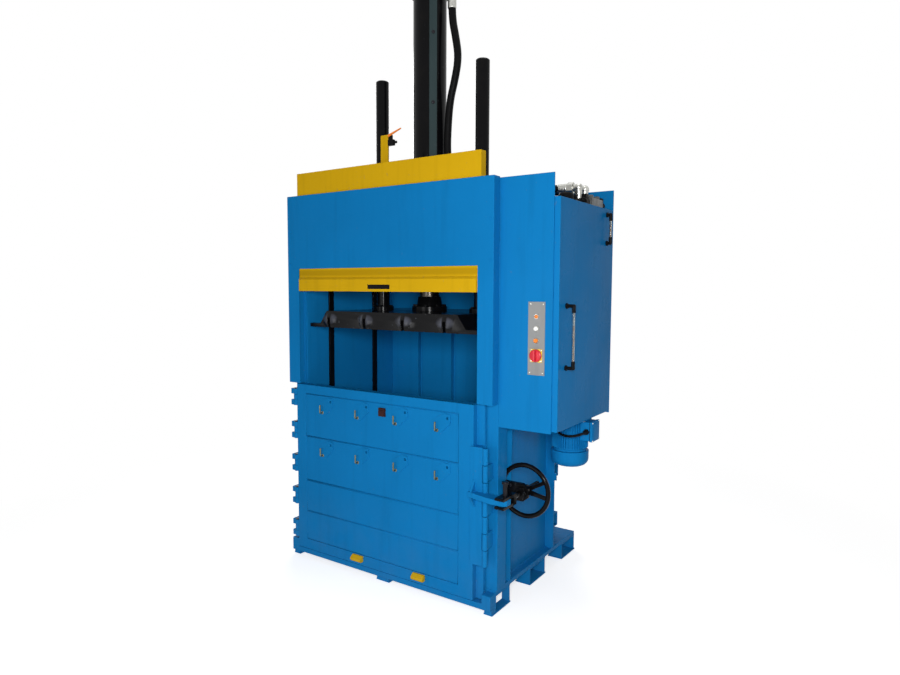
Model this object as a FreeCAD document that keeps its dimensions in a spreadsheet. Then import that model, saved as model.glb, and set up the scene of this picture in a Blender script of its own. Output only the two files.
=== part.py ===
import FreeCAD, Part
import os
import math
import Sketcher

# Vertical recycling baler: a pallet-footed welded frame with a front door, a
# rising feed gate, a hydraulic platen on two guide columns, a screw-drawn door
# lock and a hydraulic tank with its motor on the right-hand side.
# Millimetres. +X right as seen from the front, +Y to the back, +Z up.
# The origin is on the floor, in the middle of the nine feet.

V = FreeCAD.Vector
doc = FreeCAD.newDocument("recycling_baler")
sheet = doc.addObject("Spreadsheet::Sheet", "sizes")

# ---------------------------------------------------------------- dimensions
DIMENSIONS = [
    # base
    ("base_inset", 7), ("base_length", 1090), ("base_setback", 20),
    ("foot_height", 100), ("foot_length", 200), ("foot_width", 90),
    ("corner_foot_width", 46),
    ("foot_wall", 8), ("foot_plate", 8), ("foot_lip", 4),
    ("deck_thickness", 24), ("front_beam_bottom", 30), ("front_beam_top", 62),
    ("beam_setback", 4), ("corner_block_top", 112), ("corner_gap", 5),
    # chamber and frame
    ("chamber_width", 1300), ("chamber_depth", 860), ("door_gap", 7),
    ("wall_plate", 10), ("panel_thickness", 48), ("side_depth", 102),
    ("post_depth", 160), ("post_lip", 96), ("rib_offset", 763), ("rib_plate", 12),
    ("rear_cheek", 22), ("frame_height", 2250), ("floor_thickness", 26),
    ("strap_pitch", 288), ("strap_shift", -26), ("strap_slot", 18),
    ("rear_slot", 40), ("rear_slot_foot", 60), ("trough_depth", 30), ("trough_wall", 4),
    ("trough_lap", 10), ("tie_eye_z", 576), ("tie_eye_height", 46), ("tie_eye_reach", 14),
    ("rear_slot_top", 1500), ("rear_rib_depth", 70), ("rear_rib_height", 90),
    ("rear_rib_wall", 8), ("rear_rib_pitch", 330), ("rear_rib_lowest", 60),
    ("rail_width", 42), ("rail_thickness", 12), ("rail_spread", 219),
    # top beams and cylinder
    ("crosshead_depth", 260), ("crosshead_height", 180), ("tie_height", 100),
    ("tie_depth", 60), ("tie_wall", 8),
    ("cylinder_radius", 102.5), ("cylinder_bore_radius", 90),
    ("cylinder_length", 1250), ("cylinder_flange_radius", 145),
    ("cylinder_flange_thickness", 35), ("cylinder_cap_height", 60),
    ("gland_radius", 85), ("gland_drop", 200),
    ("rod_radius", 62), ("piston_length", 70), ("piston_setback", 350),
    ("running_fit", 0.05), ("seat_gap", 0.3),
    ("column_radius", 42), ("column_spread", 380), ("column_rise", 818),
    ("column_foot_radius", 70), ("column_foot_thickness", 20),
    ("bush_radius", 60), ("bush_flange_radius", 80), ("bush_flange", 20),
    ("bush_drop", 30),
    ("sensor_rail_width", 46), ("sensor_rail_thickness", 10), ("sensor_rail_turn", 45),
    ("sensor_rail_standoff", 8),
    # portal and gate
    ("portal_inset", 2), ("portal_bottom", 1130), ("portal_rise", 50),
    ("opening_margin", 5), ("opening_drop", 400), ("portal_plate", 8),
    ("gate_overlap", 13), ("gate_drop", 538), ("gate_rise", 185),
    ("gate_sheet", 5), ("gate_clear", 0.5), ("guide_strip", 6),
    ("gate_lip_height", 85), ("gate_lip_reach", 14), ("gate_lip_clear", 6),
    ("grip_width", 165), ("grip_height", 25), ("grip_rise", 15), ("grip_shift", -4),
    # platen
    ("platen_drop", 762), ("platen_clear_side", 8), ("platen_clear_end", 8),
    ("platen_height", 102), ("platen_edge", 22), ("platen_rim", 88), ("platen_slope", 56),
    ("strap_groove_depth", 62), ("dome_radius", 52), ("dome_reach", 14),
    ("flange_radius", 111), ("flange_thickness", 28), ("flange_neck", 62),
    ("flange_neck_radius", 80), ("flange_bolt_circle", 95), ("flange_bolt", 22),
    ("flange_bolt_head", 13),
    # door
    ("door_lap", 35), ("door_bottom", 66), ("door_top", 1125),
    ("door_thickness", 55), ("stile_left", 80), ("stile_right", 142),
    ("rail_top_height", 55), ("rail_bottom_height", 64),
    ("liner_thickness", 10), ("band_gap", 3), ("rebate_width", 48), ("rebate_depth", 38),
    ("band_bevel", 6), ("seam_low", 317), ("seam_mid", 518),
    ("seam_high", 800), ("strap_hole_radius", 8),
    ("hook_high", 987), ("hook_low", 718), ("strap_hole_rise", 48),
    ("strap_hole_side", 68), ("hook_radius", 5), ("hook_reach", 24), ("hook_foot", 24),
    ("hook_tip", 26), ("hook_bend", 12), ("strap_plate", 4),
    ("interlock_left", -4), ("interlock_width", 48), ("interlock_low", 994),
    ("interlock_height", 50), ("interlock_depth", 14),
    ("wedge_left", -174), ("wedge_right", 284), ("wedge_half", 40),
    ("wedge_rise", 25), ("wedge_height", 36), ("wedge_reach", 30),
    ("hinge_axis_out", 21), ("knuckle_radius", 17), ("hinge_pin_radius", 10),
    ("hinge_height", 106), ("hinge_pitch", 214), ("hinge_lowest", 128),
    ("hinge_gap", 1), ("hinge_axis_back", 16), ("knuckle_arm", 16), ("knuckle_pad", 24),
    ("knuckle_lap", 6), ("hinge_head_lap", 4), ("hinge_head", 6),
    # lock
    ("leaf_width", 73), ("leaf_bottom", 275), ("leaf_top", 908),
    ("leaf_thickness", 14), ("leaf_inset", 58), ("barrel_radius", 15),
    ("barrel_count_gap", 4), ("barrel_clear", 2),
    ("barrel_arm", 16), ("lug_width", 70), ("lug_thickness", 28),
    ("lug_nose", 28), ("lug_web", 10), ("lug_taper", 60), ("gusset_height", 60),
    ("gusset_reach", 40), ("gusset_plate", 12), ("gusset_inset", 20),
    ("lock_axis_out", 98), ("lock_axis_z", 660), ("lock_pin_radius", 11),
    ("lock_pin_clear", 1), ("lock_travel", 24), ("fork_gap", 1),
    ("fork_tine", 14), ("fork_body", 28), ("fork_width", 52), ("fork_clear", 2),
    ("fork_reach", 10), ("pin_drop", 51),
    ("pin_rise", 10), ("pin_head_lap", 7),
    ("spindle_radius", 15), ("spindle_tail", 150),
    ("bracket_thickness", 20), ("bracket_height", 96),
    ("wheel_radius", 150), ("wheel_rim", 13), ("wheel_hub_radius", 32), ("hub_step", 8),
    ("wheel_offset", 22), ("spoke_width", 22), ("spoke_thickness", 14),
    ("wheel_nut", 60), ("wheel_nut_length", 18), ("side_play", 0.3),
    # tank and power unit
    ("tank_depth", 328), ("tank_length", 720),
    ("tank_bottom", 1020), ("tank_drop", 70), ("tank_wall", 5),
    ("tank_lid_drop", 90), ("end_plate", 8), ("end_plate_inset", 30),
    ("end_plate_bottom", 1010), ("end_plate_rise", 45),
    ("motor_x", 196), ("motor_y", 470), ("motor_radius", 88),
    ("motor_fin", 14), ("motor_fin_count", 28), ("motor_fin_thickness", 3),
    ("motor_length", 176), ("motor_flange_radius", 118),
    ("motor_flange", 16), ("cowl_length", 92), ("cowl_radius", 106),
    ("terminal_inset", 6), ("terminal_width", 76), ("terminal_depth", 110), ("terminal_height", 112),
    ("cable_radius", 7), ("gland_across", 30), ("gland_length", 22),
    ("gauge_top", 1647), ("gauge_bottom", 1336), ("gauge_y", 85),
    ("upper_gauge_drop", 34), ("upper_gauge_length", 158), ("upper_gauge_y", 620),
    ("gauge_reach", 42), ("upper_gauge_reach", 24), ("gauge_tube_radius", 6),
    ("hose_radius", 23), ("hose_nut", 58), ("hose_nut_length", 34),
    ("valve_x", 248), ("valve_y", 530), ("valve_width", 120), ("valve_length", 160),
    ("valve_height", 136), ("elbow_spread", 44), ("elbow_offset", 34), ("elbow_rise", 64),
    ("elbow_bend", 30), ("cap_port_reach", 52), ("foot_port_reach", 42),
    ("foot_port_rise", 85), ("coil_radius", 22), ("coil_drop", 26), ("coil_reach", 70),
    ("breather_x", 270), ("breather_y", 192),
    # controls
    ("control_x", 213), ("control_width", 92), ("control_bottom", 1300),
    ("control_top", 1668), ("control_plate", 3), ("lamp_z", 1594),
    ("white_z", 1534), ("orange_z", 1474), ("switch_z", 1399),
    ("button_stem_radius", 11), ("bezel_radius", 15), ("bezel_height", 6),
    ("button_fit", 0.1), ("switch_radius", 32),
    ("switch_plate", 66), ("switch_stem_radius", 8), ("switch_backing", 3),
    # limit switch on the feed gate
    ("stand_x", -35), ("stand_width", 52), ("stand_height", 358),
    ("stand_y", 90), ("stand_depth", 12), ("stand_foot", 20), ("stand_wall", 4),
    ("switch_depth", 20), ("switch_width", 40), ("switch_height", 32), ("switch_drop", 62),
    ("pivot_offset", 14), ("pivot_rise", 54), ("lever_pin_radius", 4), ("lever_blade", 5),
]

for row, (alias, value) in enumerate(DIMENSIONS, start=1):
    sheet.set("A%d" % row, alias.replace("_", " "))
    sheet.set("B%d" % row, str(value))
    sheet.setAlias("B%d" % row, alias)
doc.recompute()


class Size:
    """A length with its number and the sheet expression that gives it."""

    def __init__(self, value, text):
        self.value = float(value)
        self.text = text

    def __add__(self, other):
        other = size(other)
        return Size(self.value + other.value, "(%s + %s)" % (self.text, other.text))

    def __sub__(self, other):
        other = size(other)
        return Size(self.value - other.value, "(%s - %s)" % (self.text, other.text))

    def __mul__(self, other):
        other = size(other)
        return Size(self.value * other.value, "(%s * %s)" % (self.text, other.text))

    def __truediv__(self, other):
        other = size(other)
        return Size(self.value / other.value, "(%s / %s)" % (self.text, other.text))

    def __radd__(self, other):
        return size(other) + self

    def __rsub__(self, other):
        return size(other) - self

    def __rmul__(self, other):
        return size(other) * self

    def __neg__(self):
        return Size(-self.value, "(0 - %s)" % self.text)


def size(value):
    """Turn a plain number into a Size."""
    if isinstance(value, Size):
        return value
    return Size(value, "(%s)" % repr(float(value)))


def cell(alias):
    """The Size that one cell of the sheet holds."""
    return Size(float(sheet.get(alias)), "sizes.%s" % alias)


class Cells:
    """Gives cell('name') as d.name."""

    def __getattr__(self, alias):
        return cell(alias)


d = Cells()

# ------------------------------------------------------------------- helpers
NODES = []
counter = {"n": 0}


def fresh(stem):
    """A new internal object name."""
    counter["n"] += 1
    return "%s_%03d" % (stem, counter["n"])


def bind(obj, prop, value):
    """Bind a property to the sheet expression of a Size."""
    obj.setExpression(prop, size(value).text)


def seat(obj, x, y, z):
    """Bind an object's position."""
    bind(obj, "Placement.Base.x", x)
    bind(obj, "Placement.Base.y", y)
    bind(obj, "Placement.Base.z", z)


def node(label, obj):
    """Register an object as a finished piece; its label names its file."""
    obj.Label = label
    NODES.append((label, obj))
    return obj


def box(x, y, z):
    """A block between two planes on each axis."""
    obj = doc.addObject("Part::Box", fresh("block"))
    bind(obj, "Length", size(x[1]) - x[0])
    bind(obj, "Width", size(y[1]) - y[0])
    bind(obj, "Height", size(z[1]) - z[0])
    seat(obj, x[0], y[0], z[0])
    return obj


AXIS_TURN = {
    "z": FreeCAD.Rotation(V(0, 0, 1), 0),
    "y": FreeCAD.Rotation(V(1, 0, 0), -90),
    "x": FreeCAD.Rotation(V(0, 1, 0), 90),
}


def rod(axis, x, y, z, radius, length):
    """A round bar that starts at x, y, z and runs along +axis."""
    obj = doc.addObject("Part::Cylinder", fresh("bar"))
    bind(obj, "Radius", radius)
    bind(obj, "Height", length)
    obj.Placement = FreeCAD.Placement(V(), AXIS_TURN[axis])
    seat(obj, x, y, z)
    return obj


def ball(x, y, z, radius, axis="z"):
    """A ball whose poles lie along an axis."""
    obj = doc.addObject("Part::Sphere", fresh("ball"))
    bind(obj, "Radius", radius)
    obj.Placement = FreeCAD.Placement(V(), AXIS_TURN[axis])
    seat(obj, x, y, z)
    return obj


def hexagon(axis, x, y, z, across, length):
    """A hexagonal bar, such as a nut, that starts at x, y, z."""
    obj = doc.addObject("Part::Prism", fresh("hex"))
    obj.Polygon = 6
    bind(obj, "Circumradius", size(across) * 0.57735)
    bind(obj, "Height", length)
    obj.Placement = FreeCAD.Placement(V(), AXIS_TURN[axis])
    seat(obj, x, y, z)
    return obj


def fuse(*parts):
    """Join pieces into one."""
    obj = doc.addObject("Part::MultiFuse", fresh("joined"))
    obj.Shapes = list(parts)
    obj.Refine = True
    return obj


def cut(base, *tools):
    """Take tools away from a piece."""
    tool = tools[0] if len(tools) == 1 else fuse(*tools)
    obj = doc.addObject("Part::Cut", fresh("cut"))
    obj.Base = base
    obj.Tool = tool
    obj.Refine = True
    return obj


def common(base, tool):
    """What two pieces share."""
    obj = doc.addObject("Part::Common", fresh("shared"))
    obj.Base = base
    obj.Tool = tool
    return obj


def group(*parts):
    """Keep separate solids together in one node."""
    obj = doc.addObject("Part::Compound", fresh("set"))
    obj.Links = list(parts)
    return obj


def plane_of(body, role):
    """One of a body's own origin planes or axes."""
    for feature in body.Origin.OriginFeatures:
        if feature.Role == role:
            return feature
    raise ValueError(role)


def sketch_on(body, role, offset):
    """A sketch on an origin plane, moved along the plane's normal."""
    sketch = body.newObject("Sketcher::SketchObject", fresh("sketch"))
    sketch.AttachmentSupport = [(plane_of(body, role), "")]
    sketch.MapMode = "FlatFace"
    bind(sketch, "AttachmentOffset.Base.z", offset)
    return sketch


def fix_point(sketch, geometry, point, x, y):
    """Bind a sketch point to two sheet expressions."""
    for kind, value in (("DistanceX", size(x)), ("DistanceY", size(y))):
        index = sketch.addConstraint(
            Sketcher.Constraint(kind, -1, 1, geometry, point, value.value))
        bind(sketch, "Constraints[%d]" % index, value)


def add_outline(sketch, points):
    """A closed outline of straight lines through bound points."""
    points = [(size(x), size(y)) for x, y in points]
    first = sketch.GeometryCount
    count = len(points)
    for i in range(count):
        x0, y0 = points[i]
        x1, y1 = points[(i + 1) % count]
        sketch.addGeometry(Part.LineSegment(V(x0.value, y0.value, 0),
                                            V(x1.value, y1.value, 0)), False)
    for i in range(count):
        after = first + (i + 1) % count
        sketch.addConstraint(Sketcher.Constraint("Coincident", first + i, 2, after, 1))
    for i in range(count):
        fix_point(sketch, first + i, 1, points[i][0], points[i][1])


def add_circle(sketch, x, y, radius):
    """A circle with a bound centre and radius."""
    x, y, radius = size(x), size(y), size(radius)
    index = sketch.addGeometry(
        Part.Circle(V(x.value, y.value, 0), V(0, 0, 1), radius.value), False)
    fix_point(sketch, index, 3, x, y)
    number = sketch.addConstraint(Sketcher.Constraint("Radius", index, radius.value))
    bind(sketch, "Constraints[%d]" % number, radius)


PLANES = {"xy": "XY_Plane", "xz": "XZ_Plane", "yz": "YZ_Plane"}


def span_offset(plane, span):
    """Where a sketch plane lies so that its pad fills a span of the third axis."""
    # The normal of the XZ plane points to the front, so its pad starts at the back.
    return -size(span[1]) if plane == "xz" else size(span[0])


def profile(plane, outlines, span, circles=()):
    """A body: outlines (the first outer, the rest holes) padded over a span."""
    body = doc.addObject("PartDesign::Body", fresh("body"))
    sketch = sketch_on(body, PLANES[plane], span_offset(plane, span))
    for outline in outlines:
        add_outline(sketch, outline)
    for x, y, radius in circles:
        add_circle(sketch, x, y, radius)
    pad = body.newObject("PartDesign::Pad", fresh("pad"))
    pad.Profile = sketch
    bind(pad, "Length", size(span[1]) - span[0])
    body.Tip = pad
    return body


def turned(plane, outline, axis="V_Axis"):
    """A body turned about its own axis; its outline is radius against height."""
    body = doc.addObject("PartDesign::Body", fresh("body"))
    sketch = sketch_on(body, PLANES[plane], 0)
    add_outline(sketch, outline)
    feature = body.newObject("PartDesign::Revolution", fresh("turned"))
    feature.Profile = sketch
    feature.ReferenceAxis = (sketch, [axis])
    feature.Angle = 360
    body.Tip = feature
    return body


def mirror_x(obj):
    """The same piece on the other side of the centre plane."""
    twin = doc.addObject("Part::Mirroring", fresh("twin"))
    twin.Source = obj
    twin.Normal = V(1, 0, 0)
    twin.Base = V(0, 0, 0)
    return twin


def both_sides(obj):
    """A piece and its mirror image as one node of two solids."""
    return group(obj, mirror_x(obj))


def made(label, shape):
    """A node whose shape is made from wires and sweeps."""
    obj = doc.addObject("Part::Feature", fresh("formed"))
    obj.Shape = shape
    return node(label, obj)


def bent_path(points, radii):
    """Straight runs joined by tangent arcs, as one wire."""
    edges = []
    start = points[0]
    for i in range(1, len(points) - 1):
        corner = points[i]
        into = (corner - points[i - 1]).normalize()
        out = (points[i + 1] - corner).normalize()
        half = into.getAngle(out) / 2
        setback = radii[i - 1] * math.tan(half)
        enter = corner - into * setback
        leave = corner + out * setback
        inward = (out - into).normalize()
        centre = corner + inward * (radii[i - 1] / math.cos(half))
        middle = centre - inward * radii[i - 1]
        edges.append(Part.LineSegment(start, enter).toShape())
        edges.append(Part.Arc(enter, middle, leave).toShape())
        start = leave
    edges.append(Part.LineSegment(start, points[-1]).toShape())
    return Part.Wire(edges)


def tube_along(points, radii, radius):
    """A round bar or hose swept along a bent path."""
    path = bent_path(points, radii)
    direction = (points[1] - points[0]).normalize()
    ring = Part.Wire(Part.Circle(points[0], direction, radius).toShape())
    solid = path.makePipeShell([ring], True, False)
    expected = math.pi * radius ** 2 * path.Length
    if abs(solid.Volume - expected) > 0.02 * expected:
        raise ValueError("sweep volume")
    return solid


# -------------------------------------------------- derived reference planes
front = -(d.base_length / 2 + d.base_setback)
chamber_front = front + d.door_thickness + d.door_gap
chamber_back = chamber_front + d.chamber_depth
chamber_half = d.chamber_width / 2
body_half = chamber_half + d.side_depth
base_half = body_half - d.base_inset
door_half = chamber_half + d.door_lap
deck_top = d.foot_height + d.deck_thickness
floor_top = deck_top + d.floor_thickness
centre_y = (chamber_front + chamber_back) / 2
straps = [d.strap_shift + d.strap_pitch * (i - 1.5) for i in range(4)]

# ---------------------------------------------------------------------- base
base_back = front + d.base_setback + d.base_length

node("base_deck", profile("yz", [[
    (chamber_front, d.foot_height), (base_back, d.foot_height),
    (base_back, deck_top), (chamber_front, deck_top)]],
    (-base_half, base_half)))

beam_front = front + d.beam_setback
beam = box((-base_half, base_half), (beam_front, chamber_front),
           (d.front_beam_bottom, d.front_beam_top))
corner_x = door_half + d.corner_gap
corner_right = box((corner_x, base_half), (beam_front, chamber_front),
                   (d.front_beam_top, d.corner_block_top))
node("front_beam", fuse(beam, corner_right, mirror_x(corner_right)))

foot_pitch_y = d.base_length / 2 - d.foot_length / 2


def foot(x0, x1, y, is_front):
    """An open-ended folded foot, its bottom plate with a lip all round."""
    y0 = y - d.foot_length / 2
    y1 = y + d.foot_length / 2
    wall = d.foot_wall
    top = d.foot_height
    if is_front:
        # The front feet step down to pass below the front beam.
        outer = [(y0, 0), (y1, 0), (y1, top), (chamber_front, top),
                 (chamber_front, d.front_beam_bottom), (y0, d.front_beam_bottom)]
        inner = [(chamber_front + wall, wall), (y1 - wall, wall),
                 (y1 - wall, top - wall), (chamber_front + wall, top - wall)]
        lip_front = y0
    else:
        outer = [(y0, 0), (y1, 0), (y1, top), (y0, top)]
        inner = [(y0 + wall, wall), (y1 - wall, wall),
                 (y1 - wall, top - wall), (y0 + wall, top - wall)]
        lip_front = y0 - d.foot_lip
    shell = profile("yz", [outer, inner], (x0, x1))
    plate = box((x0 - d.foot_lip, x1 + d.foot_lip), (lip_front, y1 + d.foot_lip),
                (0, d.foot_plate))
    return fuse(shell, plate)


feet = []
for row in (-1, 0, 1):
    is_front = row == -1
    y = foot_pitch_y * row
    # The two front corner feet are narrower than the others.
    outer_width = d.corner_foot_width if is_front else d.foot_width
    corner = foot(base_half - outer_width, base_half, y, is_front)
    feet += [mirror_x(corner), foot(-d.foot_width / 2, d.foot_width / 2, y, is_front), corner]
node("feet", group(*feet))

# --------------------------------------------------------------- body frame
plate = d.wall_plate
wall_out = chamber_half + plate
post_back = chamber_front + d.post_depth

# A folded channel, open to the side, with a lip behind its front edge.
post = profile("xy", [[
    (wall_out, chamber_front), (body_half, chamber_front),
    (body_half, chamber_front + d.post_lip), (body_half - plate, chamber_front + d.post_lip),
    (body_half - plate, chamber_front + plate), (wall_out + plate, chamber_front + plate),
    (wall_out + plate, post_back - plate), (body_half, post_back - plate),
    (body_half, post_back), (wall_out, post_back)]],
    (deck_top, d.frame_height))
node("front_posts", both_sides(post))

rib_front = front + d.rib_offset
rib_back = rib_front + d.rib_plate
panel_out = chamber_half + d.panel_thickness
side = profile("xy", [[
    (chamber_half, chamber_front), (wall_out, chamber_front), (wall_out, post_back),
    (panel_out, post_back), (panel_out, rib_front), (body_half, rib_front),
    (body_half, rib_back), (chamber_half + d.rear_cheek, rib_back),
    (chamber_half + d.rear_cheek, chamber_back + plate),
    (chamber_half, chamber_back + plate)]],
    (deck_top, d.frame_height))
tie_eye = box((body_half, body_half + d.tie_eye_reach), (rib_front, rib_back),
              (d.tie_eye_z - d.tie_eye_height / 2, d.tie_eye_z + d.tie_eye_height / 2))
node("side_walls", group(fuse(side, tie_eye), mirror_x(side)))

# The rear wall has one tall strap slot for each strap, closed by a trough
# behind it; the folded ribs are notched over the troughs.
rear_back = chamber_back + plate
slot_low = floor_top + d.rear_slot_foot
slot_half = d.rear_slot / 2
trough_half = slot_half + d.trough_wall
trough_back = rear_back + d.trough_depth
slots = []
troughs = []
for strap in straps:
    x = strap + d.strap_hole_side
    slots.append([(x - slot_half, slot_low), (x + slot_half, slot_low),
                  (x + slot_half, d.rear_slot_top), (x - slot_half, d.rear_slot_top)])
    troughs.append(profile("xy", [[
        (x - trough_half, rear_back), (x - slot_half, rear_back),
        (x - slot_half, trough_back - d.trough_wall),
        (x + slot_half, trough_back - d.trough_wall), (x + slot_half, rear_back),
        (x + trough_half, rear_back), (x + trough_half, trough_back),
        (x - trough_half, trough_back)]],
        (slot_low - d.trough_lap, d.rear_slot_top + d.trough_lap)))
rear_sheet = profile("xz", [[
    (-chamber_half, deck_top), (chamber_half, deck_top),
    (chamber_half, d.frame_height), (-chamber_half, d.frame_height)]] + slots,
    (chamber_back, rear_back))
node("rear_wall", fuse(rear_sheet, *troughs))


def rear_rib(z):
    """A folded channel across the back of the rear wall, open to the wall."""
    wall = d.rear_rib_wall
    y1 = rear_back + d.rear_rib_depth
    z1 = z + d.rear_rib_height
    rib = profile("yz", [[
        (rear_back, z), (y1, z), (y1, z1), (rear_back, z1), (rear_back, z1 - wall),
        (y1 - wall, z1 - wall), (y1 - wall, z + wall), (rear_back, z + wall)]],
        (-chamber_half - d.rear_cheek, chamber_half + d.rear_cheek))
    notches = [box((x + d.strap_hole_side - trough_half, x + d.strap_hole_side + trough_half),
                   (rear_back - 1, trough_back), (z - 1, z1 + 1)) for x in straps]
    return cut(rib, *notches)


rib_low = deck_top + d.rear_rib_lowest
node("rear_ribs", group(*[rear_rib(rib_low + d.rear_rib_pitch * i) for i in range(5)]))

# The floor has a strap groove under each strap.
groove = d.strap_slot / 2
outline = [(-chamber_half, deck_top), (chamber_half, deck_top),
           (chamber_half, floor_top)]
for strap in reversed(straps):
    x = strap + d.strap_hole_side
    outline += [(x + groove, floor_top), (x + groove, deck_top + 10),
                (x - groove, deck_top + 10), (x - groove, floor_top)]
outline += [(-chamber_half, floor_top)]
node("chamber_floor", profile("xz", [outline], (chamber_front, chamber_back)))

# Two flat rails on each side wall steady the platen.
rails = []
for sign in (-1, 1):
    y = centre_y + d.rail_spread * sign
    rails.append(box((chamber_half - d.rail_thickness, chamber_half),
                     (y - d.rail_width / 2, y + d.rail_width / 2),
                     (floor_top, d.frame_height)))
node("platen_rails", group(*(rails + [mirror_x(rail) for rail in rails])))

# ---------------------------------------------------------------- top beams
cross_front = centre_y - d.crosshead_depth / 2
cross_back = centre_y + d.crosshead_depth / 2
cross_bottom = d.frame_height - d.crosshead_height
cross = box((-chamber_half, chamber_half), (cross_front, cross_back),
            (cross_bottom, d.frame_height))
bores = [rod("z", 0, centre_y, cross_bottom, d.gland_radius, d.crosshead_height)]
for sign in (-1, 1):
    bores.append(rod("z", d.column_spread * sign, centre_y, cross_bottom,
                     d.bush_radius, d.crosshead_height))
crosshead = cut(cross, *bores)

tie_bottom = d.frame_height - d.tie_height
tie_back = chamber_front + d.tie_depth
wall = d.tie_wall
front_tie = profile("yz", [[
    (chamber_front, tie_bottom), (tie_back, tie_bottom), (tie_back, tie_bottom + wall),
    (chamber_front + wall, tie_bottom + wall), (chamber_front + wall, d.frame_height - wall),
    (tie_back, d.frame_height - wall), (tie_back, d.frame_height),
    (chamber_front, d.frame_height)]], (-chamber_half, chamber_half))
node("top_beams", group(crosshead, front_tie))

bushes = []
for sign in (-1, 1):
    bush = turned("xz", [
        (d.column_radius + d.running_fit, -d.bush_drop),
        (d.bush_radius, -d.bush_drop),
        (d.bush_radius, d.crosshead_height),
        (d.bush_flange_radius, d.crosshead_height),
        (d.bush_flange_radius, d.crosshead_height + d.bush_flange),
        (d.column_radius + d.running_fit, d.crosshead_height + d.bush_flange)])
    seat(bush, d.column_spread * sign, centre_y, cross_bottom)
    bushes.append(bush)
node("column_bushes", group(*bushes))

# -------------------------------------------------------- hydraulic cylinder
rod_bore = d.rod_radius + d.running_fit
bore = d.cylinder_bore_radius
flange_top = d.cylinder_flange_thickness
barrel = turned("xz", [
    (rod_bore, -d.gland_drop), (d.gland_radius, -d.gland_drop), (d.gland_radius, 0),
    (d.cylinder_flange_radius, 0), (d.cylinder_flange_radius, flange_top),
    (d.cylinder_radius, flange_top), (d.cylinder_radius, d.cylinder_length),
    (bore, d.cylinder_length), (bore, flange_top + 30), (rod_bore, flange_top + 30)])
seat(barrel, 0, centre_y, d.frame_height)
node("cylinder_barrel", barrel)

cap_base = d.frame_height + d.cylinder_length
cap = turned("xz", [
    (0, -20), (bore, -20), (bore, 0), (d.cylinder_radius + 8, 0),
    (d.cylinder_radius + 8, d.cylinder_cap_height - 10),
    (d.cylinder_radius - 2, d.cylinder_cap_height), (0, d.cylinder_cap_height)])
seat(cap, 0, centre_y, cap_base)
port_z = cap_base + d.cylinder_cap_height / 2
port_x = d.cylinder_radius + 8
node("cylinder_cap", cap)

# The sensor rail is built in front of the cylinder's axis, then turned round it.
rail_back = -d.cylinder_radius - d.sensor_rail_standoff
rail_low = d.frame_height + d.cylinder_flange_thickness
flat = box((-d.sensor_rail_width / 2, d.sensor_rail_width / 2),
           (rail_back - d.sensor_rail_thickness, rail_back), (rail_low, cap_base - 30))
pads = []
for share in (0.08, 0.42, 0.76):
    z = rail_low + d.cylinder_length * share
    pads.append(box((-12, 12), (rail_back, 0), (z, z + 40)))
barrel_space = rod("z", 0, 0, d.frame_height, d.cylinder_radius + d.seat_gap,
                   d.cylinder_length)
sensor_rail = cut(fuse(flat, *pads), barrel_space)
rail_turn = FreeCAD.Rotation(V(0, 0, 1), d.sensor_rail_turn.value)
sensor_rail.Placement = FreeCAD.Placement(V(), rail_turn)
seat(sensor_rail, 0, centre_y, 0)
node("sensor_rail", sensor_rail)

# ---------------------------------------------------- portal and gate guides
portal_half = body_half - d.portal_inset
portal_top = d.frame_height + d.portal_rise
opening_top = d.frame_height - d.opening_drop
opening_half = chamber_half + d.opening_margin
sheet_back = front + d.portal_plate
face = profile("xz", [[
    (-portal_half, d.portal_bottom), (-opening_half, d.portal_bottom),
    (-opening_half, opening_top), (opening_half, opening_top),
    (opening_half, d.portal_bottom), (portal_half, d.portal_bottom),
    (portal_half, portal_top), (-portal_half, portal_top)]],
    (front, sheet_back))
fold = box((portal_half - d.portal_plate, portal_half), (front, chamber_front),
           (d.portal_bottom, portal_top))
node("portal_frame", fuse(face, fold, mirror_x(fold)))

gate_half = opening_half + d.gate_overlap
gate_bottom = d.frame_height - d.gate_drop
gate_top = d.frame_height + d.gate_rise
gate_front = sheet_back + d.gate_clear
gate_back = chamber_front - d.guide_strip - d.gate_clear
guide_x = gate_half + d.gate_clear
guide = profile("xy", [[
    (opening_half, chamber_front - d.guide_strip),
    (guide_x, chamber_front - d.guide_strip), (guide_x, sheet_back),
    (guide_x + 10, sheet_back), (guide_x + 10, chamber_front - d.guide_strip),
    (portal_half - d.portal_plate, chamber_front - d.guide_strip),
    (portal_half - d.portal_plate, chamber_front), (opening_half, chamber_front)]],
    (d.portal_bottom, d.frame_height))
node("gate_guides", both_sides(guide))

# ----------------------------------------------------------------- feed gate
sheet_t = d.gate_sheet
panel = profile("xy", [[
    (-gate_half, gate_front), (gate_half, gate_front), (gate_half, gate_back),
    (gate_half - sheet_t, gate_back), (gate_half - sheet_t, gate_front + sheet_t),
    (-gate_half + sheet_t, gate_front + sheet_t), (-gate_half + sheet_t, gate_back),
    (-gate_half, gate_back)]], (gate_bottom, gate_top))
top_fold = box((-gate_half + sheet_t, gate_half - sheet_t),
               (gate_front + sheet_t, gate_back), (gate_top - sheet_t, gate_top))
node("gate_panel", fuse(panel, top_fold))

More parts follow.
